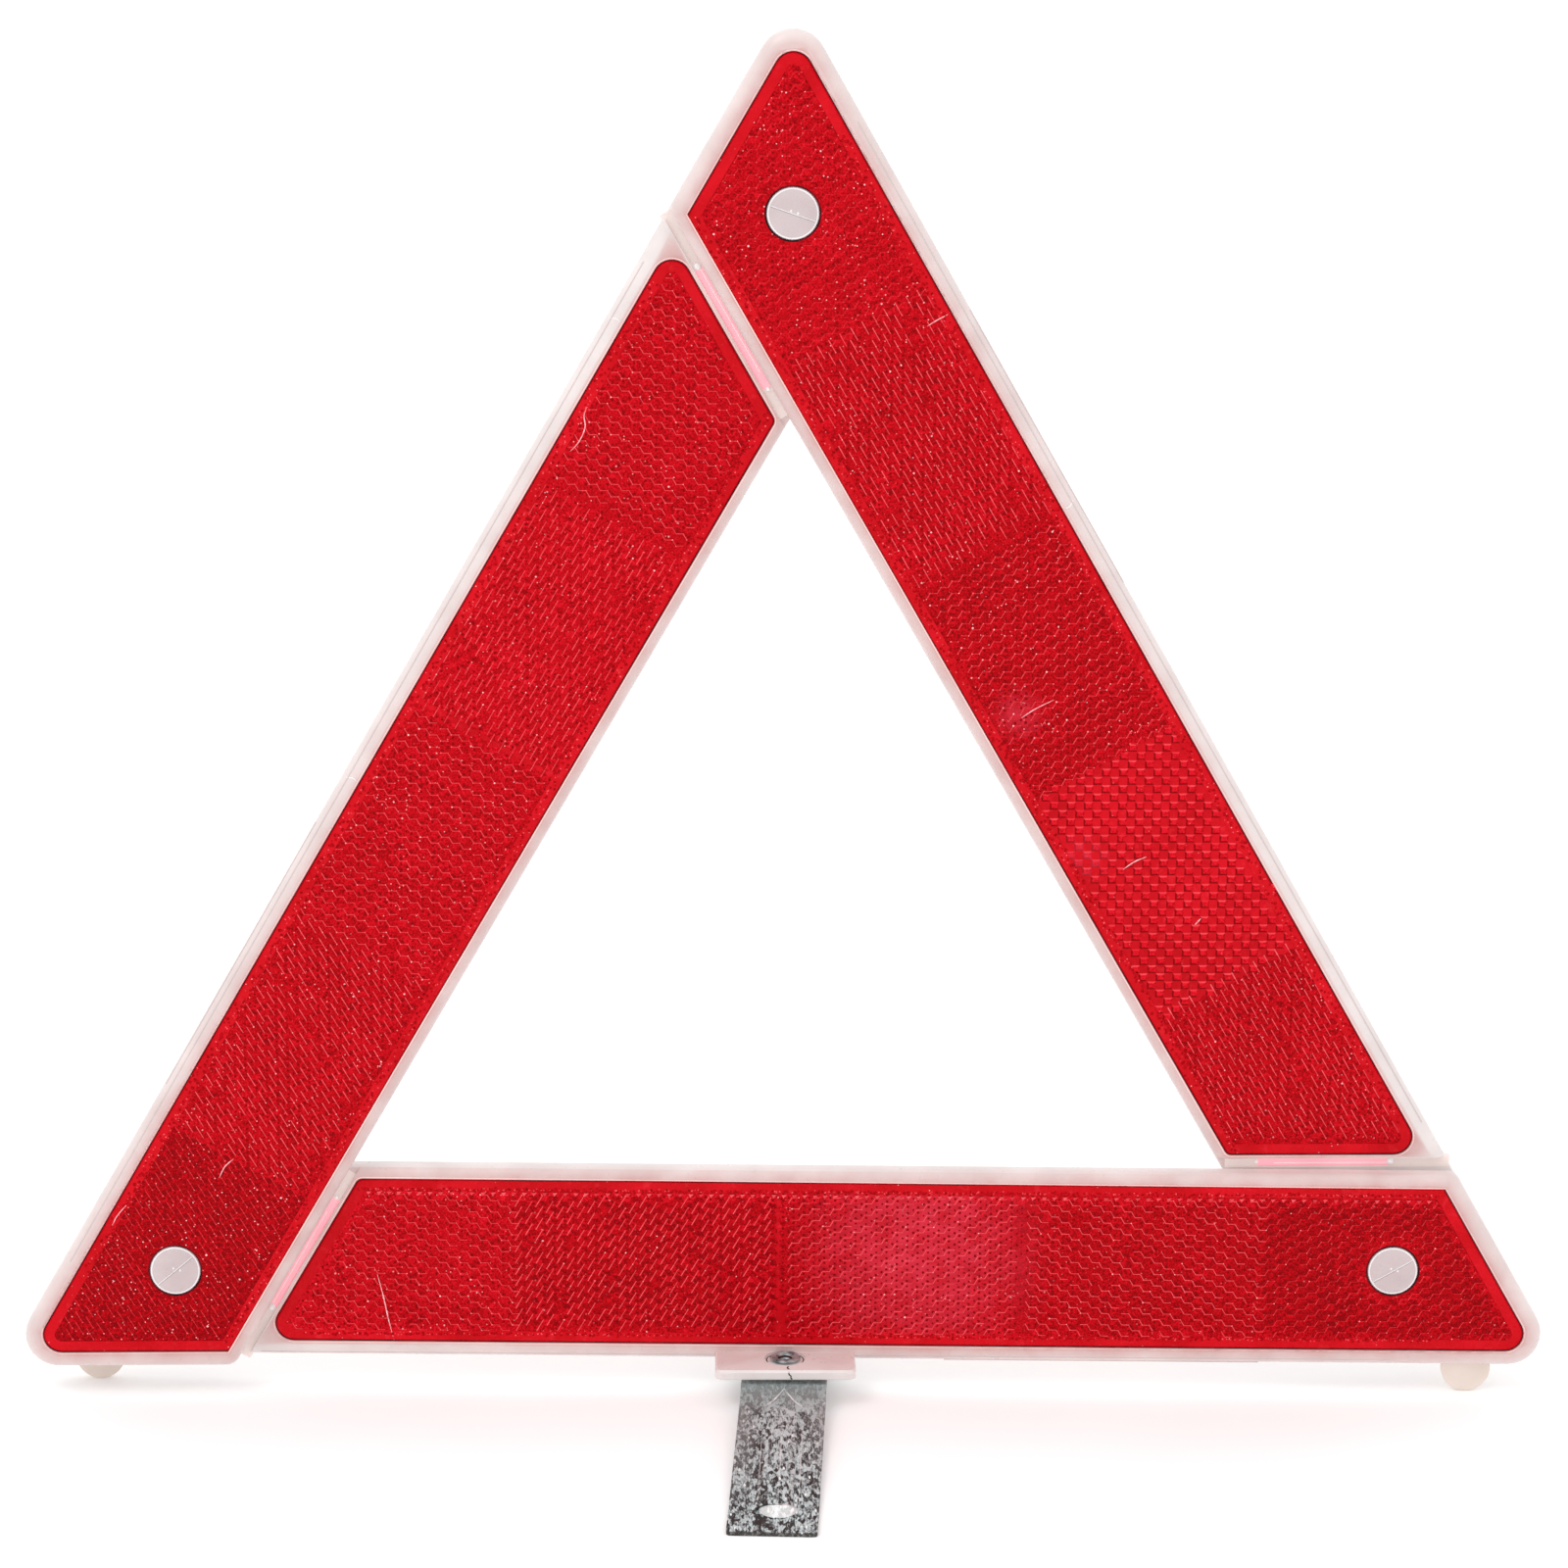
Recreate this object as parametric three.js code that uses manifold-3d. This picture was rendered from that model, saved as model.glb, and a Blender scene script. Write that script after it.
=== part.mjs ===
// Folding warning triangle.
//
// Three equal reflector arms overlap each other in a ring: the head of each arm lies in front of
// the tail of the next. Two corners are riveted pivots and the third is an open latch, so the ring
// opens there and the arms fold flat behind the base arm. A riveted steel strip under the base arm
// swivels across it as the foot.
//
// Millimetres. +X to the right, +Y away from the viewer, +Z up. The origin is on the ground, at the
// axis of the leg's rivet. Angles are in degrees.
import * as THREE from 'three';
import { mergeVertices } from 'three/addons/utils/BufferGeometryUtils.js';
import Module from 'manifold-3d';

const wasm = await Module();
wasm.setup();

// ---------------------------------------------------------------- driving dimensions
const PIN_PITCH = 334;            // distance between two corner pins
const PIN_LINE_HEIGHT = 36.3;     // the base arm's pin line above the ground
const RING_DEPTH = 5;             // how far the arms' mid-length front lies behind the leg's rivet
const OVERLAP_PITCH = 8.4;        // a head's front lies this far in front of the tail behind it

const ARM = {
  thickness: 6,
  outer: 27.8, inner: 27.4,       // pin line to the rim's outer and inner edges
  head: 28.1, tail: 21.8,         // pin to the head's end edge and to the tail's end edge
  outerCorner: 9, headCorner: 4, tailCorner: 6,
  rimRound: 3.2, rimRise: 3,      // quarter-round along the front edge
  backChamfer: 0.5,
  tailRecess: 1.5,                // the tail lies back from the front face
};
const LENS = {
  outer: 22.9, inner: 23.9, head: 23.2,
  tail: -31.3,                    // its tail end stops short of the arm in front
  thickness: 2.2, bevel: 0.4,
  outerCorner: 4.8, headCorner: 0.8, tailCorner: 2,
  gap: 0.3,
  border: 3, borderRise: 0.2,     // smooth border, standing over the prism field
};
const TAIL_WALL = 1;              // wall left between the lens pocket and the recessed tail
const BACK_BAY = { count: 5, depth: 1.6, rib: 2.4, wall: 4.5, endClear: 62, corner: 3 };

const PIN = { headRadius: 7, headThickness: 2.1, shankRadius: 3, clearance: 0.35, headGap: 0.4 };
const SPACER = { radius: 6, faceGap: 0.55 };
const RETAINER = { radius: 6.4, length: 1.6 };
const RETAINER_PLAY = 0.6;        // behind a riveted tail
const LATCH_PLAY = 2;             // behind the open latch, so that the head can lift as it leaves
const LATCH_SLOT = { direction: 158, length: 60, radius: 3.6 };

const FOOT = { radius: 6.8, thickness: 2.5, leftOffset: 23.2, rightOffset: 21.8, gap: 0.3 };

const LUG = { width: 38.5, front: -9.6, thickness: 2.7, corner: 2.2, bevel: 0.6 };
const RIVET = { flangeRadius: 4.25, barrelRadius: 2.6, boreRadius: 1.3, ring: 5.65, ringDepth: 0.5,
  flange: 1, clearance: 0.3 };
const LEG_WASHER = { radius: 6, thickness: 0.7 };
const SEAT_GAP = 0.3;             // between the faces stacked on the leg's rivet
const LEG = {
  reach: 95, width: 23.4, sheet: 1.2, cornerRadius: 1.2,
  rootEnd: 10.5, jogEnd: 16, jogTop: 5, padStart: 82,
  yaw: 3,                         // it stands this far short of square to the arms
};
const RIB = { width: 10, rise: 1.6, start: 17, full: 25, end: 81, flareSteps: 4, archPoints: 9 };

// Fold geometry: the slopes of the two hinge axes that lay the arms flat on each other
const STACK_PITCH = 8.6;          // the right arm's front lies this far behind the base arm's
const PIN_HEAD_ROOM = 3.2;        // extra room behind the right arm, over the pivot's retainer

const ARC_STEPS = 9;
const ROUND_STEPS = 36;
const RIM_STEPS = 8;

// ---------------------------------------------------------------- materials
const housingPlastic = new THREE.MeshStandardMaterial({ color: 0xebe0db, roughness: 0.35 });
const reflectorRed = new THREE.MeshStandardMaterial({ color: 0xc80c19, roughness: 0.15 });
const pinPlastic = new THREE.MeshStandardMaterial({ color: 0xe6dad8, roughness: 0.35 });
const footPlastic = new THREE.MeshStandardMaterial({ color: 0xebe2d6, roughness: 0.5 });
const zincSteel = new THREE.MeshStandardMaterial({ color: 0x8d8f8e, roughness: 0.45, metalness: 1 });
const rivetSteel = new THREE.MeshStandardMaterial({ color: 0xb3b0ad, roughness: 0.3, metalness: 1 });

// ---------------------------------------------------------------- solids and meshes
const { sin, cos, asin, hypot, PI } = Math;
const rad = THREE.MathUtils.degToRad;
const COS30 = cos(rad(30));

function solidFromTriangles(positions, indices) {
  return new wasm.Manifold(new wasm.Mesh({
    numProp: 3,
    vertProperties: Float32Array.from(positions),
    triVerts: Uint32Array.from(indices),
  }));
}

/** A closed three.js geometry as a solid. */
function solidFromGeometry(geometry) {
  geometry.deleteAttribute('normal');
  geometry.deleteAttribute('uv');
  const merged = mergeVertices(geometry, 1e-4);
  const index = merged.index.array;
  const kept = [];
  for (let i = 0; i < index.length; i += 3) {
    const [a, b, c] = [index[i], index[i + 1], index[i + 2]];
    if (a !== b && b !== c && c !== a) kept.push(a, b, c);
  }
  return solidFromTriangles(merged.attributes.position.array, kept);
}

function meshFromSolid(name, solid, material) {
  const { vertProperties, triVerts } = solid.getMesh();
  const geometry = new THREE.BufferGeometry();
  geometry.setAttribute('position', new THREE.BufferAttribute(vertProperties, 3));
  geometry.setIndex(new THREE.BufferAttribute(triVerts, 1));
  geometry.computeVertexNormals();
  const mesh = new THREE.Mesh(geometry, material);
  mesh.name = name;
  return mesh;
}

const placed = (solid, matrix) => solid.transform(matrix.toArray());

/** An outline of convex corners {u, v, r}, moved inwards, with every corner rounded. */
function roundedOutline(corners, inset) {
  const count = corners.length;
  const edges = corners.map((corner, i) => {
    const next = corners[(i + 1) % count];
    const length = hypot(next.u - corner.u, next.v - corner.v);
    const direction = [(next.u - corner.u) / length, (next.v - corner.v) / length];
    const inward = [-direction[1], direction[0]];
    const offset = corner.u * inward[0] + corner.v * inward[1] + inset;
    return { direction, inward, offset };
  });
  return corners.flatMap((corner, i) => {
    const before = edges[(i + count - 1) % count];
    const after = edges[i];
    const radius = Math.max(corner.r - inset, 0.15);
    const det = before.inward[0] * after.inward[1] - before.inward[1] * after.inward[0];
    const reachBefore = before.offset + radius;
    const reachAfter = after.offset + radius;
    const centre = [
      (reachBefore * after.inward[1] - reachAfter * before.inward[1]) / det,
      (before.inward[0] * reachAfter - after.inward[0] * reachBefore) / det,
    ];
    const from = Math.atan2(-before.inward[1], -before.inward[0]);
    let turn = Math.atan2(-after.inward[1], -after.inward[0]) - from;
    if (turn < 0) turn += 2 * PI;
    return Array.from({ length: ARC_STEPS + 1 }, (_, k) => {
      const angle = from + (turn * k) / ARC_STEPS;
      return [centre[0] + radius * cos(angle), centre[1] + radius * sin(angle)];
    });
  });
}

/** A convex plate built from rings: each layer is [height, inset], from the lowest up. */
function plate(corners, layers) {
  const rings = layers.map(([height, inset]) =>
    roundedOutline(corners, inset).map(([u, v]) => [u, v, height]));
  const size = rings[0].length;
  const indices = [];
  for (let layer = 0; layer + 1 < rings.length; layer += 1) {
    for (let i = 0; i < size; i += 1) {
      const next = (i + 1) % size;
      const [a, b] = [layer * size + i, layer * size + next];
      const [c, d] = [a + size, b + size];
      indices.push(a, b, d, a, d, c);
    }
  }
  const top = (rings.length - 1) * size;
  for (let i = 1; i + 1 < size; i += 1) {
    indices.push(0, i + 1, i, top, top + i, top + i + 1);
  }
  return solidFromTriangles(rings.flat(2), indices);
}

const rectangle = (u0, v0, u1, v1, r) =>
  [{ u: u0, v: v0, r }, { u: u1, v: v0, r }, { u: u1, v: v1, r }, { u: u0, v: v1, r }];

/** A turned piece about +Z: the profile of [radius, height] closes on itself. */
function turned(profile) {
  const points = [...profile, profile[0]].map(([radius, height]) => new THREE.Vector2(radius, height));
  const geometry = new THREE.LatheGeometry(points, ROUND_STEPS);
  geometry.rotateX(PI / 2);
  let solid = solidFromGeometry(geometry);
  if (solid.volume() < 0) {
    const flipped = new THREE.LatheGeometry(points.reverse(), ROUND_STEPS);
    flipped.rotateX(PI / 2);
    solid = solidFromGeometry(flipped);
  }
  return solid;
}

const cylinder = (radius, from, to) =>
  turned([[0, from], [radius, from], [radius, to], [0, to]]);

/** A disc with softened edges, from one height to another. */
const disc = (radius, from, to, soft) => turned([
  [0, from], [radius - soft, from], [radius, from + soft],
  [radius, to - soft], [radius - soft, to], [0, to],
]);

const washer = (bore, radius, from, to, soft) => turned([
  [bore, from], [radius - soft, from], [radius, from + soft],
  [radius, to - soft], [radius - soft, to], [bore, to],
]);

// ---------------------------------------------------------------- frames
// Plates drawn in (u, v) stand up with u along X, v along Z and their height towards the viewer.
const UPRIGHT = new THREE.Matrix4().makeBasis(
  new THREE.Vector3(1, 0, 0), new THREE.Vector3(0, 0, 1), new THREE.Vector3(0, -1, 0));

const IN_RADIUS = PIN_PITCH / 2 * Math.tan(rad(30));      // ring centre to each pin line
const RING_CENTRE = new THREE.Vector3(0, RING_DEPTH, PIN_LINE_HEIGHT + IN_RADIUS);
const SLOPE = OVERLAP_PITCH / PIN_PITCH;                  // each arm leans back towards its tail
const HALF_PITCH = PIN_PITCH / 2;

/** An arm's own frame: pin line along X at Z = 0, tail at -X, front face at Y = 0. */
function armFrame(turn) {
  return new THREE.Matrix4().makeTranslation(RING_CENTRE)
    .multiply(new THREE.Matrix4().makeRotationY(rad(-120 * turn)))
    .multiply(new THREE.Matrix4().makeTranslation(0, 0, -IN_RADIUS))
    .multiply(new THREE.Matrix4().makeRotationZ(-asin(SLOPE)));
}
const FRAMES = { base: armFrame(0), right: armFrame(1), left: armFrame(2) };

/** A pivot's frame: +Z along its axis, away from the viewer, from the middle of the tail plate. */
function pivotFrame(tailArm, axis) {
  const depth = (ARM.tailRecess + ARM.thickness) / 2;
  const origin = new THREE.Vector3(-HALF_PITCH, depth, 0).applyMatrix4(FRAMES[tailArm]);
  const turn = new THREE.Quaternion().setFromUnitVectors(new THREE.Vector3(0, 0, 1), axis);
  return new THREE.Matrix4().compose(origin, turn, new THREE.Vector3(1, 1, 1));
}
const foldSlope = SLOPE + STACK_PITCH / PIN_PITCH;
const swingSlope = 2 * SLOPE + PIN_HEAD_ROOM / PIN_PITCH;
const AXES = {
  lowerRight: new THREE.Vector3(0.5 * foldSlope, 1, COS30 * foldSlope).normalize(),
  top: new THREE.Vector3(-swingSlope, 1, 0).normalize(),
  lowerLeft: new THREE.Vector3(0, 1, 0).transformDirection(FRAMES.left),
};
const PIVOTS = {
  lowerRight: pivotFrame('right', AXES.lowerRight),
  top: pivotFrame('left', AXES.top),
  lowerLeft: pivotFrame('base', AXES.lowerLeft),
};
const TAIL_BACK = (ARM.thickness - ARM.tailRecess) / 2;     // along a pivot, from its origin
const HEAD_BACK = ARM.thickness - OVERLAP_PITCH - (ARM.tailRecess + ARM.thickness) / 2;

// ---------------------------------------------------------------- arms
/** The four corners of an arm outline: tail-outer, head-outer, head-inner, tail-inner. */
function armCorners({ outer, inner, head, tail, outerCorner, headCorner, tailCorner }) {
  const headEdge = (v) => HALF_PITCH + (head - v / 2) / COS30;
  const tailEdge = (v) => -HALF_PITCH - (tail - v / 2) / COS30;
  return [
    { u: tailEdge(-outer), v: -outer, r: outerCorner },
    { u: headEdge(-outer), v: -outer, r: outerCorner },
    { u: headEdge(inner), v: inner, r: headCorner },
    { u: tailEdge(inner), v: inner, r: tailCorner },
  ];
}

const grown = (outline, by) => ({
  ...outline,
  outer: outline.outer + by, inner: outline.inner + by,
  head: outline.head + by, tail: outline.tail + by,
  outerCorner: outline.outerCorner + by, headCorner: outline.headCorner + by,
  tailCorner: outline.tailCorner + by,
});

function housingBlank() {
  const quarterRound = Array.from({ length: RIM_STEPS + 1 }, (_, k) => {
    const angle = (PI / 2) * (1 - k / RIM_STEPS);
    return [-ARM.rimRise * (1 - cos(angle)), ARM.rimRound * (1 - sin(angle))];
  });
  return plate(armCorners(ARM), [
    [-ARM.thickness, ARM.backChamfer],
    [-ARM.thickness + ARM.backChamfer, 0],
    ...quarterRound,
  ]);
}

/** Everything beyond the lens pocket's wall at the tail, in front of the recessed tail face. */
function tailRecess() {
  const edge = LENS.tail + LENS.gap + TAIL_WALL;
  const step = (v) => -HALF_PITCH - (edge - v / 2) / COS30;
  const far = -PIN_PITCH;
  const reach = 2 * ARM.inner;
  return plate([
    { u: far, v: -reach, r: 0.2 }, { u: step(-reach), v: -reach, r: 0.2 },
    { u: step(reach), v: reach, r: 0.2 }, { u: far, v: reach, r: 0.2 },
  ], [[-ARM.tailRecess, 0], [1, 0]]);
}

/** Shallow open bays between cross ribs along the arm's back. */
function backBays() {
  const length = PIN_PITCH - 2 * BACK_BAY.endClear;
  const pitch = (length + BACK_BAY.rib) / BACK_BAY.count;
  return Array.from({ length: BACK_BAY.count }, (_, k) => {
    const start = -length / 2 + k * pitch;
    const bay = rectangle(start, -ARM.outer + BACK_BAY.wall, start + pitch - BACK_BAY.rib,
      ARM.inner - BACK_BAY.wall, BACK_BAY.corner);
    return plate(bay, [
      [-ARM.thickness - 1, 0], [-ARM.thickness, 0], [-ARM.thickness + BACK_BAY.depth, 0.4],
    ]);
  });
}

function lensBlank() {
  const corners = armCorners(LENS);
  const blank = plate(corners, [[-LENS.thickness, 0], [-LENS.bevel, 0], [0, LENS.bevel]]);
  const field = plate(corners, [[-LENS.borderRise, LENS.border], [1, LENS.border - 0.3]]);
  return blank.subtract(field);
}

const lensPocket = () => plate(armCorners(grown(LENS, LENS.gap)),
  [[-LENS.thickness - LENS.gap, 0], [1, 0]]);

/** Solids in an arm's own frame, stood upright. */
const ownHousing = [tailRecess(), lensPocket(), ...backBays()]
  .reduce((body, cut) => body.subtract(cut), housingBlank());
const onArm = (solid, arm) => placed(placed(solid, UPRIGHT), FRAMES[arm]);

// ---------------------------------------------------------------- pivots
/** The flush pin head in the head of one arm, with its shank along the pivot. */
function pin(headArm, pivot, shankEnd) {
  const head = onArm(placed(
    turned([
      [0, -PIN.headThickness], [PIN.headRadius, -PIN.headThickness],
      [PIN.headRadius, -0.5], [PIN.headRadius - 0.5, -0.05], [0, 0.15],
    ]), new THREE.Matrix4().makeTranslation(HALF_PITCH, 0, 0)), headArm);
  const shankStart = HEAD_BACK - ARM.thickness + PIN.headThickness / 2;
  const shank = disc(PIN.shankRadius, shankStart, shankEnd, 0.5);
  return head.add(placed(shank, PIVOTS[pivot]));
}

const spacer = (pivot) => placed(washer(PIN.shankRadius + PIN.clearance, SPACER.radius,
  HEAD_BACK + SPACER.faceGap, -TAIL_BACK - SPACER.faceGap, 0.4), PIVOTS[pivot]);

const retainer = (pivot, play) => placed(washer(PIN.shankRadius + PIN.clearance, RETAINER.radius,
  TAIL_BACK + play, TAIL_BACK + play + RETAINER.length, 0.5), PIVOTS[pivot]);

const shankEndFor = (play) => TAIL_BACK + play + RETAINER.length + 0.7;

/** The hole for a pin's shank, along the pivot through both arms. */
const shankHole = (pivot) => placed(
  cylinder(PIN.shankRadius + PIN.clearance, HEAD_BACK - 10, TAIL_BACK + 10), PIVOTS[pivot]);

/** The round seat for a pin's head, in the lens and the pocket floor. */
const headSeat = (arm) => onArm(placed(
  cylinder(PIN.headRadius + PIN.headGap, -PIN.headThickness - PIN.headGap, 2),
  new THREE.Matrix4().makeTranslation(HALF_PITCH, 0, 0)), arm);

/** The open slot by which the latch pin leaves the base arm's tail. */
function latchSlot() {
  const { length, radius, direction } = LATCH_SLOT;
  const run = plate(rectangle(-radius, -radius, length, radius, radius),
    [[-ARM.thickness - 2, 0], [2, 0]]);
  const turn = new THREE.Matrix4().makeTranslation(-HALF_PITCH, 0, 0)
    .multiply(new THREE.Matrix4().makeRotationZ(rad(direction)));
  return onArm(placed(run, turn), 'base');
}

// ---------------------------------------------------------------- feet, lug, rivet and leg
const FOOT_DROP = PIN_LINE_HEIGHT - FOOT.radius;     // pin line down to a foot's centre

/** A foot's disc lies in the back of the base arm and shows below its edge. */
function footDisc(side, extra) {
  const u = side === 'left' ? -HALF_PITCH - FOOT.leftOffset : HALF_PITCH + FOOT.rightOffset;
  const round = cylinder(FOOT.radius + extra, -ARM.thickness - extra * 4,
    -ARM.thickness + FOOT.thickness + extra);
  return onArm(placed(round, new THREE.Matrix4().makeTranslation(u, -FOOT_DROP, 0)), 'base');
}

const LUG_TOP = PIN_LINE_HEIGHT - ARM.outer + LUG.thickness;
const LUG_BOTTOM = PIN_LINE_HEIGHT - ARM.outer;

function lug() {
  const half = LUG.width / 2;
  const back = RING_DEPTH + ARM.thickness / 2;
  const outline = rectangle(-half, LUG.front, half, back, LUG.corner);
  return plate(outline, [
    [LUG_BOTTOM, LUG.bevel / 2], [LUG_BOTTOM + LUG.bevel / 2, 0],
    [LUG_TOP - LUG.bevel, 0], [LUG_TOP, LUG.bevel],
  ]);
}

const lugHole = () => cylinder(RIVET.barrelRadius + RIVET.clearance, 0, LUG_TOP + 5)
  .add(cylinder(RIVET.ring, LUG_TOP - RIVET.ringDepth, LUG_TOP + 5));

const WASHER_TOP = LUG_BOTTOM - SEAT_GAP;
const LEG_TOP = WASHER_TOP - LEG_WASHER.thickness - SEAT_GAP;

/** Hollow rivet: a rolled flange on the lug, a barrel, and a clinched flange under the leg. */
function rivet() {
  const { flangeRadius: wide, barrelRadius: barrel, boreRadius: bore, flange } = RIVET;
  const seat = LUG_TOP - RIVET.ringDepth + SEAT_GAP;
  const clinch = LEG_TOP - LEG.sheet - SEAT_GAP;
  return turned([
    [bore, clinch - flange], [wide - 0.9, clinch - flange], [wide - 0.2, clinch - flange / 2],
    [wide - 0.5, clinch], [barrel, clinch], [barrel, seat], [wide - 0.3, seat],
    [wide, seat + flange * 0.45], [wide - 0.5, seat + flange * 0.9], [wide - 1.3, seat + flange],
    [bore + 0.8, seat + flange * 0.4], [bore, seat - 0.6],
  ]);
}

const legWasher = () => washer(RIVET.barrelRadius + RIVET.clearance, LEG_WASHER.radius,
  WASHER_TOP - LEG_WASHER.thickness, WASHER_TOP, 0.15);

/** The strip's side view: a raised root at the rivet, a jog down, a gentle slope, a flat pad. */
function legStrip() {
  const top = [[LEG.rootEnd, LEG_TOP], [LEG.jogEnd, LEG.jogTop], [LEG.padStart, LEG.sheet],
    [LEG.reach, LEG.sheet]];
  const upper = [...top.map(([y, z]) => [-y, z]).reverse(), ...top];
  const lower = upper.map(([y, z]) => [y, z - LEG.sheet]).reverse();
  const side = new THREE.Shape([...upper, ...lower].map(([y, z]) => new THREE.Vector2(y, z)));
  const geometry = new THREE.ExtrudeGeometry(side,
    { depth: LEG.width, bevelEnabled: false, curveSegments: 1 });
  const strip = placed(solidFromGeometry(geometry), new THREE.Matrix4().makeBasis(
    new THREE.Vector3(0, 1, 0), new THREE.Vector3(0, 0, 1), new THREE.Vector3(1, 0, 0))
    .setPosition(-LEG.width / 2, 0, 0));
  const half = LEG.width / 2;
  const plan = plate(rectangle(-half, -LEG.reach, half, LEG.reach, LEG.cornerRadius),
    [[-1, 0], [20, 0]]);
  return strip.intersect(plan);
}

const stripTop = (y) => (y < LEG.jogEnd
  ? LEG_TOP + (LEG.jogTop - LEG_TOP) * (y - LEG.rootEnd) / (LEG.jogEnd - LEG.rootEnd)
  : LEG.jogTop + (LEG.sheet - LEG.jogTop) * (y - LEG.jogEnd) / (LEG.padStart - LEG.jogEnd));

/** A pressed rib along the strip: it opens out from a point, runs straight and ends in a cut arch. */
function ribBody(shrink, endAt) {
  const flare = Array.from({ length: RIB.flareSteps + 1 }, (_, k) =>
    RIB.start + (RIB.full - RIB.start) * k / RIB.flareSteps);
  const across = RIB.archPoints;
  const rings = [...flare, endAt].map((y) => {
    const grow = Math.max(0.03, Math.min(1, (y - RIB.start) / (RIB.full - RIB.start)));
    const halfWidth = RIB.width / 2 * grow - shrink * grow;
    const rise = (RIB.rise - shrink) * grow;
    const base = stripTop(y);
    const arch = Array.from({ length: across }, (_, k) => {
      const angle = PI * k / (across - 1);
      return [halfWidth * cos(angle), -y, base + Math.max(rise, 0.02) * sin(angle)];
    });
    const foot = shrink > 0 ? base - LEG.sheet - 1 : base - LEG.sheet / 2;
    return [...arch, [-halfWidth, -y, foot], [halfWidth, -y, foot]];
  });
  const size = rings[0].length;
  const indices = [];
  for (let ring = 0; ring + 1 < rings.length; ring += 1) {
    for (let i = 0; i < size; i += 1) {
      const next = (i + 1) % size;
      const [a, b] = [ring * size + i, ring * size + next];
      indices.push(a, a + size, b + size, a, b + size, b);
    }
  }
  const last = (rings.length - 1) * size;
  for (let i = 1; i + 1 < size; i += 1) {
    indices.push(0, i, i + 1, last, last + i + 1, last + i);
  }
  let body = solidFromTriangles(rings.flat(2), indices);
  if (body.volume() < 0) {
    const turnedOut = indices.map((_, i) => indices[i - (i % 3) + [0, 2, 1][i % 3]]);
    body = solidFromTriangles(rings.flat(2), turnedOut);
  }
  return body;
}

function leg() {
  const half = new THREE.Matrix4().makeRotationZ(PI);
  const ribs = ribBody(0, RIB.end);
  const hollows = ribBody(1, RIB.end + 0.5);
  return legStrip()
    .add(ribs).add(placed(ribs, half))
    .subtract(hollows).subtract(placed(hollows, half))
    .subtract(cylinder(RIVET.barrelRadius + RIVET.clearance, -1, 20));
}

// ---------------------------------------------------------------- assembly
const group = new THREE.Group();
group.name = 'warning_triangle';
const put = (name, solid, material) => group.add(meshFromSolid(name, solid, material));

const baseHousing = onArm(ownHousing, 'base').add(lug().subtract(onArm(lensPocket(), 'base')))
  .subtract(shankHole('lowerRight')).subtract(headSeat('base')).subtract(latchSlot())
  .subtract(lugHole())
  .subtract(footDisc('left', FOOT.gap)).subtract(footDisc('right', FOOT.gap));
const rightHousing = onArm(ownHousing, 'right')
  .subtract(shankHole('lowerRight')).subtract(shankHole('top')).subtract(headSeat('right'));
const leftHousing = onArm(ownHousing, 'left')
  .subtract(shankHole('top')).subtract(shankHole('lowerLeft')).subtract(headSeat('left'));

put('base_arm_housing', baseHousing, housingPlastic);
put('right_arm_housing', rightHousing, housingPlastic);
put('left_arm_housing', leftHousing, housingPlastic);

for (const arm of ['base', 'right', 'left']) {
  put(`${arm}_arm_reflector`, onArm(lensBlank(), arm).subtract(headSeat(arm)), reflectorRed);
}

for (const [corner, headArm, pivot, play] of [
  ['lower_right', 'base', 'lowerRight', RETAINER_PLAY],
  ['top', 'right', 'top', RETAINER_PLAY],
  ['lower_left', 'left', 'lowerLeft', LATCH_PLAY],
]) {
  const kind = corner === 'lower_left' ? 'latch_pin' : 'pivot_pin';
  put(`${corner}_${kind}`, pin(headArm, pivot, shankEndFor(play)), pinPlastic);
  put(`${corner}_spacer`, spacer(pivot), pinPlastic);
  put(`${corner}_retainer`, retainer(pivot, play), rivetSteel);
}

put('left_foot', footDisc('left', 0), footPlastic);
put('right_foot', footDisc('right', 0), footPlastic);
put('stand_leg', placed(leg(), new THREE.Matrix4().makeRotationZ(rad(-LEG.yaw))), zincSteel);
put('leg_rivet', rivet(), rivetSteel);
put('leg_washer', legWasher(), zincSteel);

// The hinge axes, for whoever moves the arms
group.userData.axes = { lowerRight: AXES.lowerRight, top: AXES.top };
group.userData.pivots = Object.fromEntries(Object.entries(PIVOTS)
  .map(([name, frame]) => [name, new THREE.Vector3().setFromMatrixPosition(frame)]));

export default group;
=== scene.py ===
"""The folding warning triangle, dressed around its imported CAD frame.

Every CAD node is shown as a finer copy with softened edges and its own node material. On top of
each reflector lies a field of moulded prisms, laid out on one triangular lattice in five panels.
"""
import math
import random
from collections import namedtuple

import bmesh
import bpy
from mathutils import Matrix, Vector
from mathutils.bvhtree import BVHTree
from mathutils.geometry import convex_hull_2d


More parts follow.
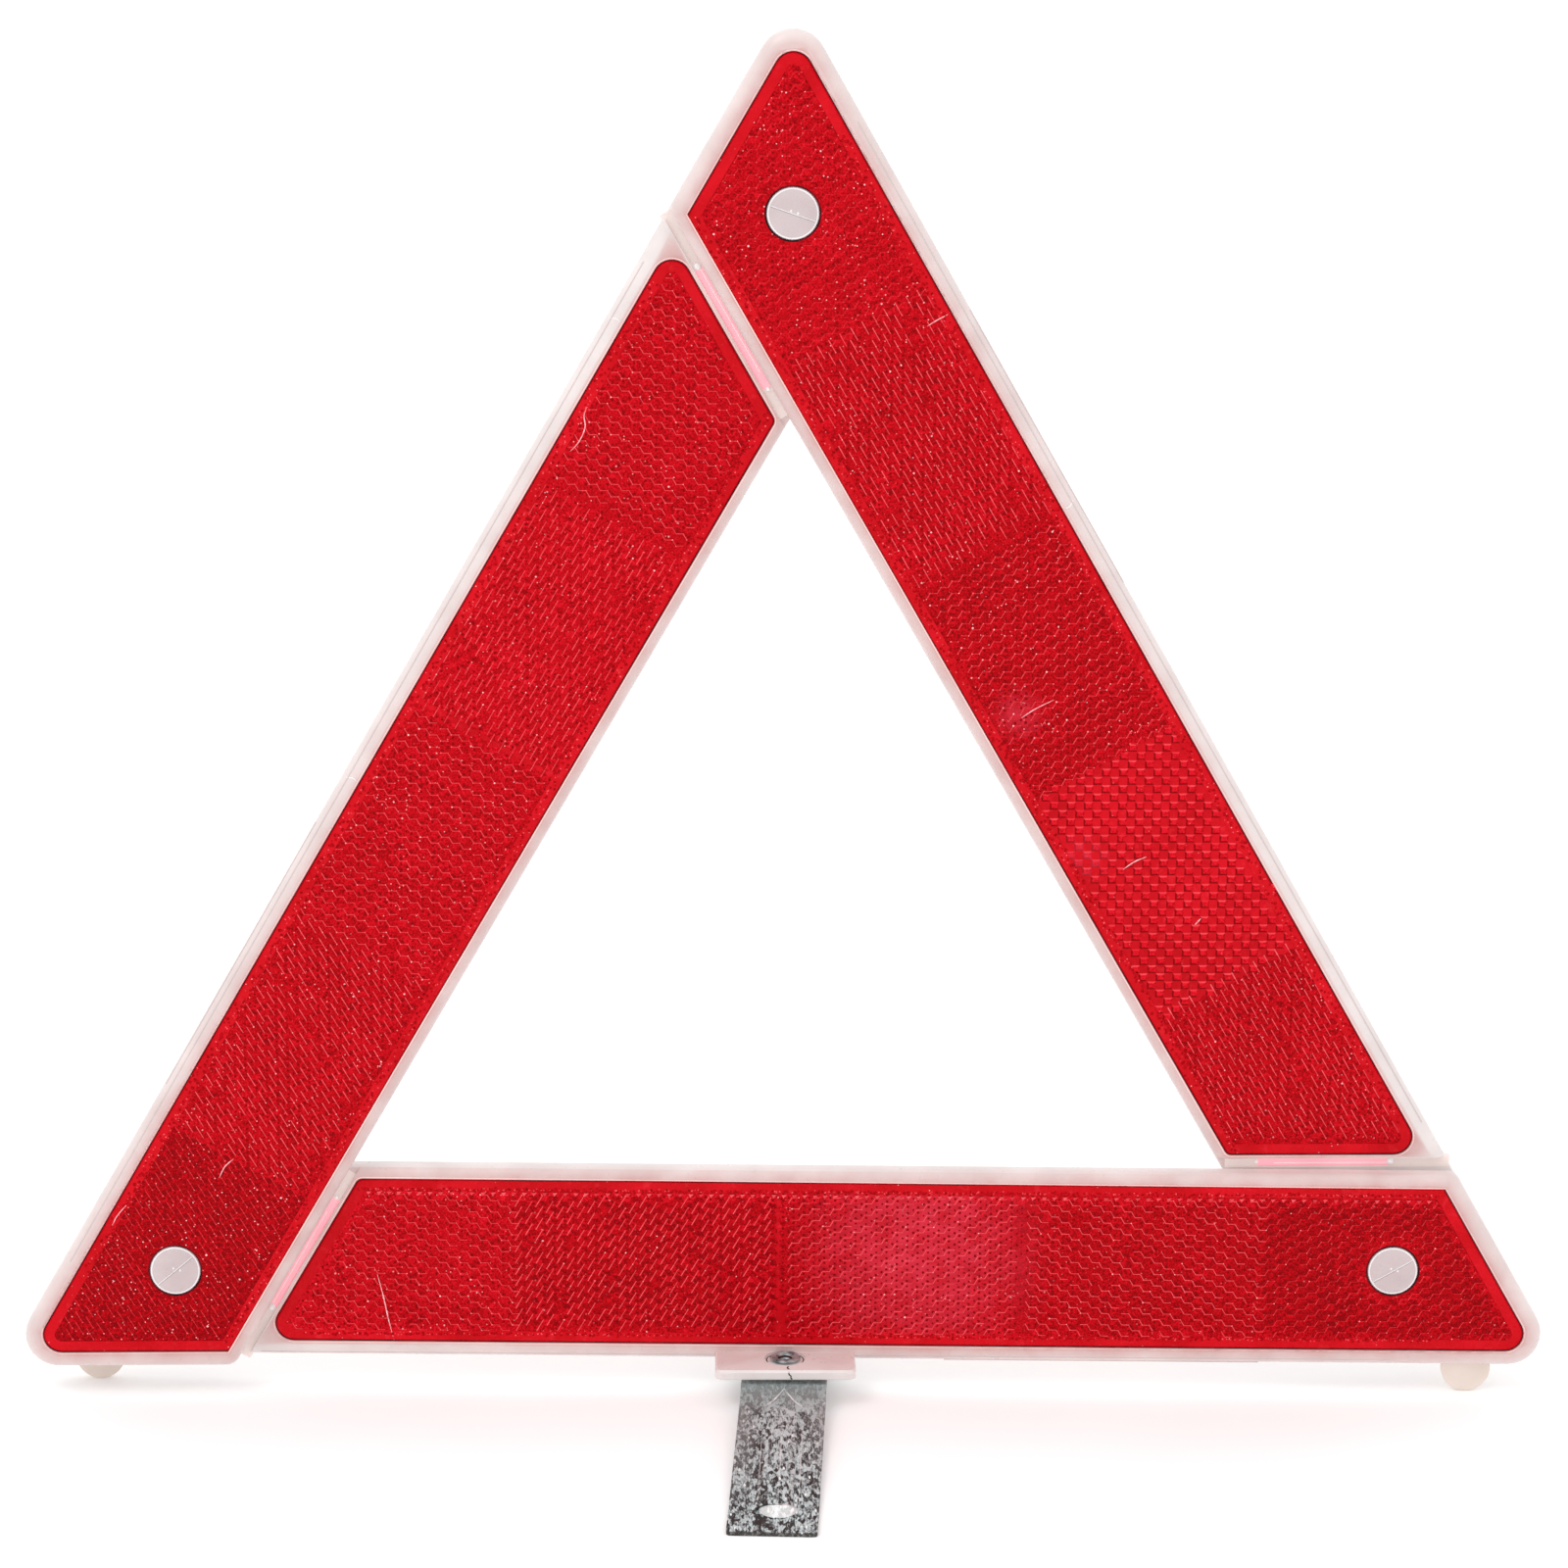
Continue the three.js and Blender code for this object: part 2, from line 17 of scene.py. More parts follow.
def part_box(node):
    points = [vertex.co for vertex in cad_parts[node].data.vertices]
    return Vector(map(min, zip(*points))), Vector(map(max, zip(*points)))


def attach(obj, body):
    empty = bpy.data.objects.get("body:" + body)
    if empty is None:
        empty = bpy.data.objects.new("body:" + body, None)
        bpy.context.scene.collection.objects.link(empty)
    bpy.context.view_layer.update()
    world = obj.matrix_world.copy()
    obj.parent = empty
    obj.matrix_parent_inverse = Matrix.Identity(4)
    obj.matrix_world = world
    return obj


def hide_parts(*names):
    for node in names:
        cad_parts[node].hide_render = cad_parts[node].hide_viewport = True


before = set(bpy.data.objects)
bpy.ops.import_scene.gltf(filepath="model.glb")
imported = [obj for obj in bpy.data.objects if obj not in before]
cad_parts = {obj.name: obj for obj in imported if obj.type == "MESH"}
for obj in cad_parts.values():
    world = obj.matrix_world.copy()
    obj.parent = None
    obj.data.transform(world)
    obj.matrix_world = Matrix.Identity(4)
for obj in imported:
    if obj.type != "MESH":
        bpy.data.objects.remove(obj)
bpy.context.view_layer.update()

random.seed(20)

MM = 0.001
SIGNS = ((-1, -1), (1, -1), (1, 1), (-1, 1))  # a rectangle's corners
CAST = 10 * MM              # how far off a surface a ray starts
UP = Vector((0, 0, 1))
VIEWER = Vector((0, -1, 0))

# -------- what is where
ARMS = {
    "base": {"head": "lower_right_pivot_pin", "tail": "lower_left_latch_pin", "front": "left"},
    "right": {"head": "top_pivot_pin", "tail": "lower_right_pivot_pin", "front": "base"},
    "left": {"head": "lower_left_latch_pin", "tail": "top_pivot_pin", "front": "right"},
}
FLOOR_REACH = 14            # metres
SKY = 1.06                  # brightness of the white surroundings
KEY = {"place": (-0.8, -0.9, 1.7), "aim": (0, 0, 0.15), "size": 0.9, "watts": 6}
CAMERA = {"place": (-0.0218, -1.1163, 0.4489), "down": 13.83, "left": -1.05, "roll": -0.38,
          "lens": 99.1}

# Prism field, in millimetres
PRISM_SIDE = 1.9
PRISM_STEP = 0.05           # a prism's height step from centre to spoke end to rim
FIELD_LOW = -0.165          # height of a prism's centre, from the reflector's front
FIELD_BACK = -0.19
PANEL_ENDS = (37, 103, 169, 241)
BAR_HALF = 0.16
BAR_LIFT = 0.03
BLOCK = {"across": 4.6, "up": 2.3, "half_width": 1.22, "half_height": 1.1, "slope": 0.46,
         "top": -0.05}

# A panel's look: painted shade of the three facets, brightness of the painted highlight bars by
# direction, how many sides long a bar is, and the shares of dust, of glinting prism corners
# (painted highlights) and of dark pits (painted shade)
Style = namedtuple("Style", "tones bars sides dust sparks pits")
STYLES = {
    "quiet": Style((0.36, 0.46, 0.54), (0.1, 0.0, 0.2), 1, 1.4, 0.7, 0.35),
    "fine_rise": Style((0.14, 0.26, 0.34), (0.12, 0.0, 0.4), 1, 0.3, 0.5, 0.4),
    "steps": Style((0.28, 0.36, 0.42), (0.9, 1.0, 0.0), 1, 0.4, 1.0, 0.45),
    "soft_steps": Style((0.38, 0.46, 0.54), (0.55, 0.75, 0.0), 1, 0.8, 1.2, 0.4),
    "misty": Style((0.38, 0.44, 0.5), (0.8, 0.0, 1.0), 1, 0.5, 1.0, 1.0),
    "sparkling": Style((0.3, 0.38, 0.44), (0.25, 0.0, 0.7), 1, 0.9, 2.0, 0.5),
    "rising": Style((0.24, 0.4, 0.48), (0.0, 0.0, 1.0), 2, 0.3, 0.5, 0.4),
    "soft_rising": Style((0.42, 0.5, 0.58), (0.0, 0.0, 0.65), 2, 0.7, 0.8, 0.3),
    "falling": Style((0.3, 0.42, 0.5), (0.0, 1.0, 0.0), 2, 0.8, 0.9, 0.4),
    "dusty": Style((0.1, 0.2, 0.32), (0.0, 0.2, 0.0), 2, 2.1, 1.8, 0.4),
    "blocks": Style((0.0, 0.8, 1.1), (0.0, 0.0, 0.0), 1, 0.4, 0.1, 0.0),
}
PANELS = {
    "base": ("fine_rise", "steps", "misty", "rising", "soft_steps"),
    "right": ("quiet", "falling", "sparkling", "blocks", "falling"),
    "left": ("dusty", "falling", "soft_steps", "soft_rising", "soft_steps"),
}
# Plain seams left between panels: how far along the arm, and their half width
SEAMS = {"base": ((103, 0.5), (169, 1.3)), "right": (), "left": ((172, 1.2),)}
# Hazy patches: along the arm, outwards, radius and strength
HAZE = {"base": ((130, -5, 40, 0.85),), "right": ((146, -14, 9, 0.5), (190, -19, 9, 0.6)),
        "left": ()}
# Scratches, as points along the arm and outwards from the head pin
SCRATCHES = {
    "base": (((279.4, 3), (277.8, 9.7), (276.5, 16.5), (275.1, 22.2)),),
    "right": (((42.9, 15.8), (42.8, 18.9), (42.9, 22.3)),
              ((147.3, -13.8), (147.0, -9.5), (147.3, -3.9)),
              ((198, -10.5), (197.6, -7), (198, -3.4)),
              ((221.5, -1.1), (220.7, 1.2))),
    "left": (((263.4, 20.1), (260.3, 19.6), (257.7, 17.8), (253.7, 17.3), (250.2, 18)),
             ((2.4, 21), (6.1, 21.2), (10.8, 20.3)),
             ((29.3, 2.3), (32.8, 2.5), (35.9, 1.5))),
}
# Small witness marks across the outer rims, along each arm
RIM_MARKS = {"base": (), "right": (103,), "left": (144.4, 286.1)}
PIN_LINES = {"base": 31, "right": -19, "left": 40}  # slope of each pin's parting line
# Marks on a pin's head, in millimetres from its middle
PIN_TRIM = {"reach": 6.1, "shade_line": 0.24, "gates": ((-0.5, 0.7), (1.3, 0.1)), "rim": 6.45,
            "gap": 7.18}
TAIL_CHANNEL = {"start": 6, "wall": 1.05, "width": 3.0, "length": 36, "thick": 0.3, "rib": 0.14,
                "bead": 0.6}
RIDGE_TOP = 0.6             # a ridge's top width, as a share of its foot's
POCKET = {"gap": 0.15, "line": 0.14, "sink": -0.35, "lip": 0.62, "lip_half": 0.22}
RIM_LINES = (25.9, 27.35)   # painted shade lines along the outer rim's fine steps, out from the pin line
PIN_CLEAR = 7.5             # the prisms stop this far from a pin's middle
PIN_GAP_DEPTH = -0.2
CUT_TONE = 0.2              # how much brighter the base arm's cut-off prisms are
# Tone of the dark pit specks: painted shade.
PIT_SHADE_TONE = -0.3
# Tone of the painted highlight marks: bars, glints and bright specks.
MARK_TONE = 0.7             # of bars, glints and other bright marks
BURRS = {"count": 520, "step": 0.6, "before": 12, "bright": 0.35}
BURR_REACH = {"base": 0.8, "right": 2.4, "left": 2.4}
RIVET_SEAT = {"ring": 5.1, "bore": 2.0, "sink": 0.75}
LEG_RIB = {"end": 0.853, "half": 5.0, "rise": 1.6, "slope": 5.5}
# Painted highlight lines along the leg's rib edges and crest
RIB_HIGHLIGHT_LINES = ((-5.3, 0.3, 0.84), (5.3, 0.36, 0.84), (0, 0.34, 0.8))   # side, first, last
# The split in the lug: across its top from the rivet, then down its front
LUG_CRACK = {"top": ((0.3, -5.2), (0.8, -6.2), (0.5, -7.3), (0.9, -8.3), (0.8, -9.4)),
             "front": ((0.8, 0.2), (1.0, 0.7), (1.5, 1.1), (1.4, 1.6), (1.8, 2.0), (2.0, 2.5))}


# -------- node materials
class Shader:
    """A node material with a Principled surface."""

    def __init__(self, name, sockets):
        self.material = bpy.data.materials.new(name)
        self.material.use_nodes = True
        self.tree = self.material.node_tree
        self.surface = self.tree.nodes["Principled BSDF"]
        for key, value in sockets.items():
            self.surface.inputs[key].default_value = value
        self.place = self.add("TexCoord").outputs["Object"]

    def feed(self, socket, value):
        if isinstance(value, bpy.types.NodeSocket):
            self.tree.links.new(value, socket)
        else:
            socket.default_value = value

    def add(self, kind, inputs=None, **settings):
        node = self.tree.nodes.new("ShaderNode" + kind)
        for key, value in settings.items():
            setattr(node, key, value)
        for key, value in (inputs or {}).items():
            self.feed(node.inputs[key], value)
        return node

    def noise(self, grain_mm, detail=3.0):
        """Noise from 0 to 1 with a grain of that size."""
        inputs = {"Vector": self.place, "Scale": 1 / (grain_mm * MM), "Detail": detail}
        return self.add("TexNoise", inputs).outputs["Fac"]

    def sum(self, *values):
        total = values[0]
        for value in values[1:]:
            total = self.math("ADD", total, value)
        return total

    def math(self, operation, a, b):
        return self.add("Math", {0: a, 1: b}, operation=operation).outputs[0]

    def times(self, a, b):
        return self.math("MULTIPLY", a, b)

    def spread(self, value, low, high, out_low=0.0, out_high=1.0):
        """value from low..high onto out_low..out_high, clamped."""
        inputs = {"Value": value, "From Min": low, "From Max": high,
                  "To Min": out_low, "To Max": out_high}
        return self.add("MapRange", inputs).outputs[0]

    def cloud(self, grain_mm, *band):
        """Noise with a grain of that size, spread as above."""
        return self.spread(self.noise(grain_mm), *band)

    def mix(self, factor, a, b):
        node = self.add("Mix", data_type="RGBA")
        self.feed(node.inputs[0], factor)
        self.feed(node.inputs[6], a)
        self.feed(node.inputs[7], b)
        return node.outputs[2]

    def attribute(self, name):
        return self.add("Attribute", attribute_name=name).outputs["Fac"]

    def specks(self, cell_mm, radius_mm, share):
        """Small round marks: one in a share of the cells of that size."""
        inputs = {"Vector": self.place, "Scale": 1 / (cell_mm * MM)}
        cells = self.add("TexVoronoi", inputs)
        near = self.spread(cells.outputs["Distance"], 0.6 * radius_mm / cell_mm,
                           radius_mm / cell_mm, 1.0, 0.0)
        chance = self.add("SeparateColor", {0: cells.outputs["Color"]}).outputs[0]
        chosen = self.math("LESS_THAN", chance, share)
        return self.times(near, chosen)

    def finish(self, colour, roughness=None, height=None, depth_mm=0.02):
        self.feed(self.surface.inputs["Base Color"], colour)
        if roughness is not None:
            self.feed(self.surface.inputs["Roughness"], roughness)
        if height is not None:
            bump = self.add("Bump", {"Height": height, "Distance": depth_mm * MM})
            self.feed(self.surface.inputs["Normal"], bump.outputs[0])
        return self.material


def srgb(red, green, blue):
    """A colour named by its 8-bit screen values, as linear light."""
    def linear(level):
        level /= 255
        return level / 12.92 if level <= 0.04045 else ((level + 0.055) / 1.055) ** 2.4
    return (linear(red), linear(green), linear(blue), 1.0)


def reflector_material(name, deep, bright, dust_share):
    """Clear red plastic, cloudy where it is worn, with clusters of dust."""
    shader = Shader(name, {"Specular IOR Level": 0.08})
    flow = shader.sum(shader.times(shader.noise(14), 0.7), shader.times(shader.noise(0.9), 0.3))
    colour = shader.mix(shader.spread(flow, 0.38, 0.62), deep, bright)
    worn = shader.cloud(2.6, 0.6, 0.74)
    colour = shader.mix(shader.times(worn, 0.22), colour, srgb(240, 60, 70))
    dust = shader.times(shader.specks(1.7, 0.2, dust_share), shader.cloud(11, 0.45, 0.6))
    colour = shader.mix(dust, colour, srgb(255, 180, 180))
    roughness = shader.cloud(5, 0.3, 0.7, 0.2, 0.36)
    return shader.finish(colour, roughness, shader.noise(9, 2.0), 0.03)


def prism_material():
    """The prism field: facet tone (painted shade by facet direction), bright bars (painted
    highlights), dust and haze come from the mesh.
    """
    shader = Shader("reflector_prisms", {"Specular IOR Level": 0.05})
    patch = shader.cloud(16, 0.3, 0.7, -0.05, 0.05)
    grain = shader.spread(shader.noise(0.5, 1.0), 0.32, 0.68, -0.34, 0.34)
    tone = shader.sum(shader.attribute("tone"), patch, grain)
    dark = shader.mix(shader.spread(tone, 0.0, 0.5), srgb(132, 0, 6), srgb(186, 2, 16))
    colour = shader.mix(shader.spread(tone, 0.5, 1.0), dark, srgb(222, 20, 38))
    fog = shader.times(shader.attribute("haze"), shader.cloud(5, 0.35, 0.65, 0.4, 1.0))
    colour = shader.mix(fog, colour, srgb(218, 54, 74))
    # The glint attribute paints highlights: bright bars along prism edges and bright corners.
    glint = shader.times(shader.attribute("glint"), shader.cloud(0.9, 0.3, 0.7, 0.6, 1.0))
    colour = shader.mix(shader.spread(glint, 0.0, 1.0), colour, srgb(255, 104, 112))
    colour = shader.mix(shader.spread(glint, 1.0, 2.0), colour, srgb(255, 226, 224))
    clusters = shader.cloud(9, 0.4, 0.6)
    amount = shader.times(shader.attribute("dust"), clusters)
    marks = shader.math("MAXIMUM", shader.specks(1.1, 0.2, 0.26), shader.specks(2.3, 0.32, 0.14))
    colour = shader.mix(shader.times(marks, amount), colour, srgb(255, 200, 200))
    roughness = shader.cloud(4, 0.3, 0.7, 0.24, 0.42)
    return shader.finish(colour, roughness)


def moulded_material(name, pale, shade, roughness, painted_glow=0.09, glow=False):
    """Moulded plastic: cloudy, some light passes into it, painted pink where red light reaches it,
    and a painted glow that lightens its shade.
    """
    shader = Shader(name, {"Specular IOR Level": 0.4, "Subsurface Weight": 0.12,
                           "Subsurface Radius": (0.9, 0.45, 0.4), "Subsurface Scale": 0.002,
                           "Emission Color": pale, "Emission Strength": painted_glow})
    cloud = shader.cloud(13, 0.35, 0.68)
    colour = shader.mix(cloud, pale, shade)
    if glow:
        pink = shader.times(shader.attribute("glow"), shader.cloud(8, 0.3, 0.7, 0.65, 1.0))
        colour = shader.mix(pink, colour, srgb(180, 88, 82))
    dirt = shader.times(shader.specks(3.1, 0.16, 0.07), 0.45)
    colour = shader.mix(dirt, colour, srgb(128, 116, 112))
    rough = shader.cloud(2.5, 0.3, 0.7, roughness - 0.08, roughness + 0.1)
    return shader.finish(colour, rough, shader.noise(0.9, 2.0), 0.012)


def zinc_material(name, light, dark, roughness):
    """Galvanised sheet: small bright and dull crystals and fine streaks along its length."""
    shader = Shader(name, {"Metallic": 0.2, "Specular IOR Level": 0.5})
    shader.place = shader.add("VectorMath", {0: shader.place, 1: (1, 0.3, 1)},
                              operation="MULTIPLY").outputs[0]
    crystals = shader.add("TexVoronoi", {"Vector": shader.place, "Scale": 1 / (0.68 * MM)})
    tone = shader.add("SeparateColor", {0: crystals.outputs["Color"]}).outputs[0]
    streak = shader.noise(0.4)
    mottle = shader.noise(6)
    # The crest attribute lightens the rib's crest as a painted highlight.
    level = shader.sum(shader.times(tone, 0.5), streak, shader.times(mottle, 0.4),
                       shader.times(shader.attribute("crest"), 0.2))
    colour = shader.mix(shader.spread(level, 0.84, 1.18), dark, light)
    flecks = shader.specks(1.3, 0.36, 0.24)
    colour = shader.mix(flecks, colour, srgb(250, 255, 255))
    pits = shader.specks(1.1, 0.3, 0.22)
    colour = shader.mix(shader.times(pits, 0.9), colour, srgb(22, 26, 26))
    worn = shader.times(shader.attribute("worn"), 0.75)
    colour = shader.mix(worn, colour, srgb(158, 163, 163))
    rough = shader.spread(level, 0.72, 1.28, roughness + 0.12, roughness - 0.08)
    return shader.finish(colour, rough, level, 0.03)


def rivet_material():
    """Plated steel of the rivet and retainers, brushed round and a little tarnished."""
    shader = Shader("rivet_steel", {"Metallic": 0.45})
    tarnish = shader.spread(shader.noise(1.6, 4.0), 0.38, 0.66)
    colour = shader.mix(tarnish, srgb(176, 182, 184), srgb(74, 78, 80))
    rough = shader.spread(tarnish, 0.0, 1.0, 0.3, 0.5)
    return shader.finish(colour, rough, shader.noise(0.5), 0.008)


def mottled_material(name, first, second, grain_mm, band, sockets):
    """A surface that wanders between two colours."""
    shader = Shader(name, sockets)
    return shader.finish(shader.mix(shader.cloud(grain_mm, *band), first, second))


RED = reflector_material("reflector_red", srgb(190, 2, 16), srgb(210, 12, 28), 0.2)
RED_FLOOR = reflector_material("reflector_floor", srgb(184, 2, 16), srgb(210, 10, 28), 0.05)
PRISMS = prism_material()
# The moulded parts glow a little as painted light that lightens their shade; the tail channel, its
# cream sheet and the feet glow most, the pins, their trims and the rim shade lines not at all.
HOUSING = moulded_material("housing_white", srgb(226, 219, 217), srgb(214, 206, 204), 0.34,
                           glow=True)
# The tail channel's pink strip glows as painted pink light; the cream sheet under it glows to paint
# light over the shaded recess.
CHANNEL = moulded_material("channel_pink", srgb(250, 176, 186), srgb(246, 158, 172), 0.34, 0.4)
GLOWING_CREAM = moulded_material("channel_cream_glow", srgb(232, 216, 211), srgb(226, 207, 202), 0.34, 0.2)
# The pocket lip's bright colour is a painted highlight along the pocket edge.
LIP_HIGHLIGHT = moulded_material("pocket_lip", srgb(250, 206, 200), srgb(242, 190, 184), 0.3)
# Rim shade lines: painted shade along the outer rim.
RIM_SHADE = moulded_material("rim_shade", srgb(212, 194, 192), srgb(202, 184, 182), 0.4, 0.0)
HOUSING_MARK = moulded_material("housing_mark", srgb(250, 246, 246), srgb(240, 234, 234), 0.3)
# Pin marks are painted bright as highlights; the pin shade is painted shade beside the parting
# line.
PIN_MARK_HIGHLIGHT = moulded_material("pin_mark_highlight", srgb(250, 244, 244), srgb(240, 230, 230), 0.3, 0.0)
PIN_SHADE = moulded_material("pin_shade", srgb(176, 156, 158), srgb(160, 140, 143), 0.5, 0.0)
PIN_WHITE = moulded_material("pin_white", srgb(207, 192, 193), srgb(196, 180, 181), 0.36, 0.0)
FOOT_CREAM = moulded_material("foot_cream", srgb(218, 204, 195), srgb(207, 193, 183), 0.5, 0.16)
ZINC = zinc_material("leg_zinc", srgb(204, 223, 224), srgb(17, 27, 28), 0.42)
# The leg's painted highlight: bright metal for the rib's ends and the highlight lines.
LEG_HIGHLIGHT = zinc_material("leg_highlight", srgb(252, 252, 252), srgb(206, 208, 208), 0.3)
SHEARED = zinc_material("leg_sheared_edge", srgb(112, 110, 106), srgb(44, 43, 42), 0.5)
RIVET = rivet_material()
# Dark colour painted as the shade inside the lug's split and round the rivet's seat and bore.
CRACK_SHADE = mottled_material("crack_shadow", srgb(34, 22, 22), srgb(84, 58, 56), 0.6, (0.35, 0.65),
                         {"Roughness": 0.9, "Specular IOR Level": 0.1})
# A dark strip painted as the shade in the gaps round the reflectors and pin heads.
GAP_SHADE = mottled_material("pocket_shadow", srgb(40, 2, 8), srgb(112, 12, 22), 5, (0.4, 0.62),
                        {"Roughness": 0.6, "Specular IOR Level": 0.1})
SCRATCH = mottled_material("scratch_white", srgb(240, 140, 146), srgb(255, 214, 214), 0.8,
                           (0.35, 0.65), {"Roughness": 0.6, "Specular IOR Level": 0.3})
PAPER = mottled_material("studio_paper", srgb(250, 250, 250), srgb(252, 252, 252), 60, (0.3, 0.7),
                         {"Roughness": 0.95, "Specular IOR Level": 0.0,
                          "Emission Color": srgb(255, 255, 255), "Emission Strength": 0.1})


# -------- finer copies of the CAD nodes
def points_of(node):
    return [vertex.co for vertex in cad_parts[node].data.vertices]


def tree_of(node):
    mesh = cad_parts[node].data
    mesh.calc_loop_triangles()
    return BVHTree.FromPolygons(points_of(node),
                                [tuple(face.vertices) for face in mesh.loop_triangles])


def landed(tree, start, way, otherwise):
    """Where a ray meets a CAD surface, or the point given for a miss."""
    hit = tree.ray_cast(start, way)[0]
    return otherwise if hit is None else hit


def landings(tree, starts, way):
    """Where rays meet a CAD surface, without those that miss."""
    hits = [tree.ray_cast(start, way)[0] for start in starts]
    return [hit for hit in hits if hit is not None]


def turns(count):
    """Unit vectors all the way round."""
    angles = [math.tau * k / count for k in range(count)]
    return [Vector((math.cos(angle), math.sin(angle))) for angle in angles]


def add_object(name, data):
    thing = bpy.data.objects.new(name, data)
    bpy.context.scene.collection.objects.link(thing)
    return thing


def add_piece(name, mesh, body, materials):
    piece = add_object(name, mesh)
    for material in materials:
        mesh.materials.append(material)
    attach(piece, body)
    return piece


def dressed(node, body, materials, soften_mm, paint=None):
    """A copy of a CAD node with merged flats, softened edges and smooth shading."""
    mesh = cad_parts[node].data.copy()
    mesh.materials.clear()
    work = bmesh.new()
    work.from_mesh(mesh)
    bmesh.ops.remove_doubles(work, verts=work.verts, dist=0.002 * MM)
    bmesh.ops.dissolve_limit(work, angle_limit=math.radians(0.4), verts=work.verts,
                             edges=work.edges)
    crisp = [edge for edge in work.edges
             if edge.is_manifold and edge.calc_face_angle() > math.radians(38)]
    bmesh.ops.bevel(work, geom=crisp, offset=soften_mm * MM, segments=2, profile=0.6,
                    affect="EDGES", clamp_overlap=True)
    if paint:
        paint(work)
    work.to_mesh(mesh)
    work.free()
    mesh.shade_smooth()
    mesh.set_sharp_from_angle(angle=math.radians(50))
    piece = add_piece(f"{node}_finished", mesh, body, materials)
    weighted = piece.modifiers.new("flat_faces_stay_flat", "WEIGHTED_NORMAL")
    weighted.keep_sharp = True
    weighted.weight = 100
    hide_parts(node)
    return piece


def glow_painter(reflectors):
    """Marks how much red light a housing's points get from the reflectors beside them."""
    trees = [tree_of(f"{name}_arm_reflector") for name in reflectors]

    def paint(work):
        layer = work.verts.layers.float.new("glow")
        for vertex in work.verts:
            near = min(tree.find_nearest(vertex.co)[3] for tree in trees)
            vertex[layer] = math.exp(-near / (3.0 * MM))
    return paint


def floor_painter(arm):
    """Gives a reflector's recessed floor the material that shows between the prisms."""
    def paint(work):
        for face in work.faces:
            height = face.calc_center_median().dot(arm.normal) - arm.front
            if face.normal.dot(arm.normal) > 0.99 and height < arm.floor / 2:
                face.material_index = 1
    return paint


def leg_axes():
    """The level directions along and across the leg, and its reach from the rivet."""
    points = points_of("stand_leg")
    low_y = min(point.y for point in points)
    front = [point for point in points if point.y < low_y + 2 * MM]
    tip = sum(front, Vector()) / len(front)
    tip.z = 0
    forward = tip.normalized()
    return forward, UP.cross(forward), tip.length / MM


def strip_painter(work):
    """Gives the strip's cut sides their own material; marks its rib's crest for a painted
    highlight, and its worn bend.
    """
    for face in work.faces:
        if abs(face.normal.z) < 0.5:
            face.material_index = 1
    forward, aside, reach = leg_axes()
    worn = work.verts.layers.float.new("worn")
    layer = work.verts.layers.float.new("crest")
    for vertex in work.verts:
        side = abs(vertex.co.dot(aside)) / MM / LEG_RIB["half"]
        ahead = abs(vertex.co.dot(forward)) / MM / reach
        vertex[layer] = max(0.0, 1 - side * side) if ahead < LEG_RIB["end"] else 0.0
        vertex[worn] = min(1.0, max(0.0, 2.2 - 8 * ahead))


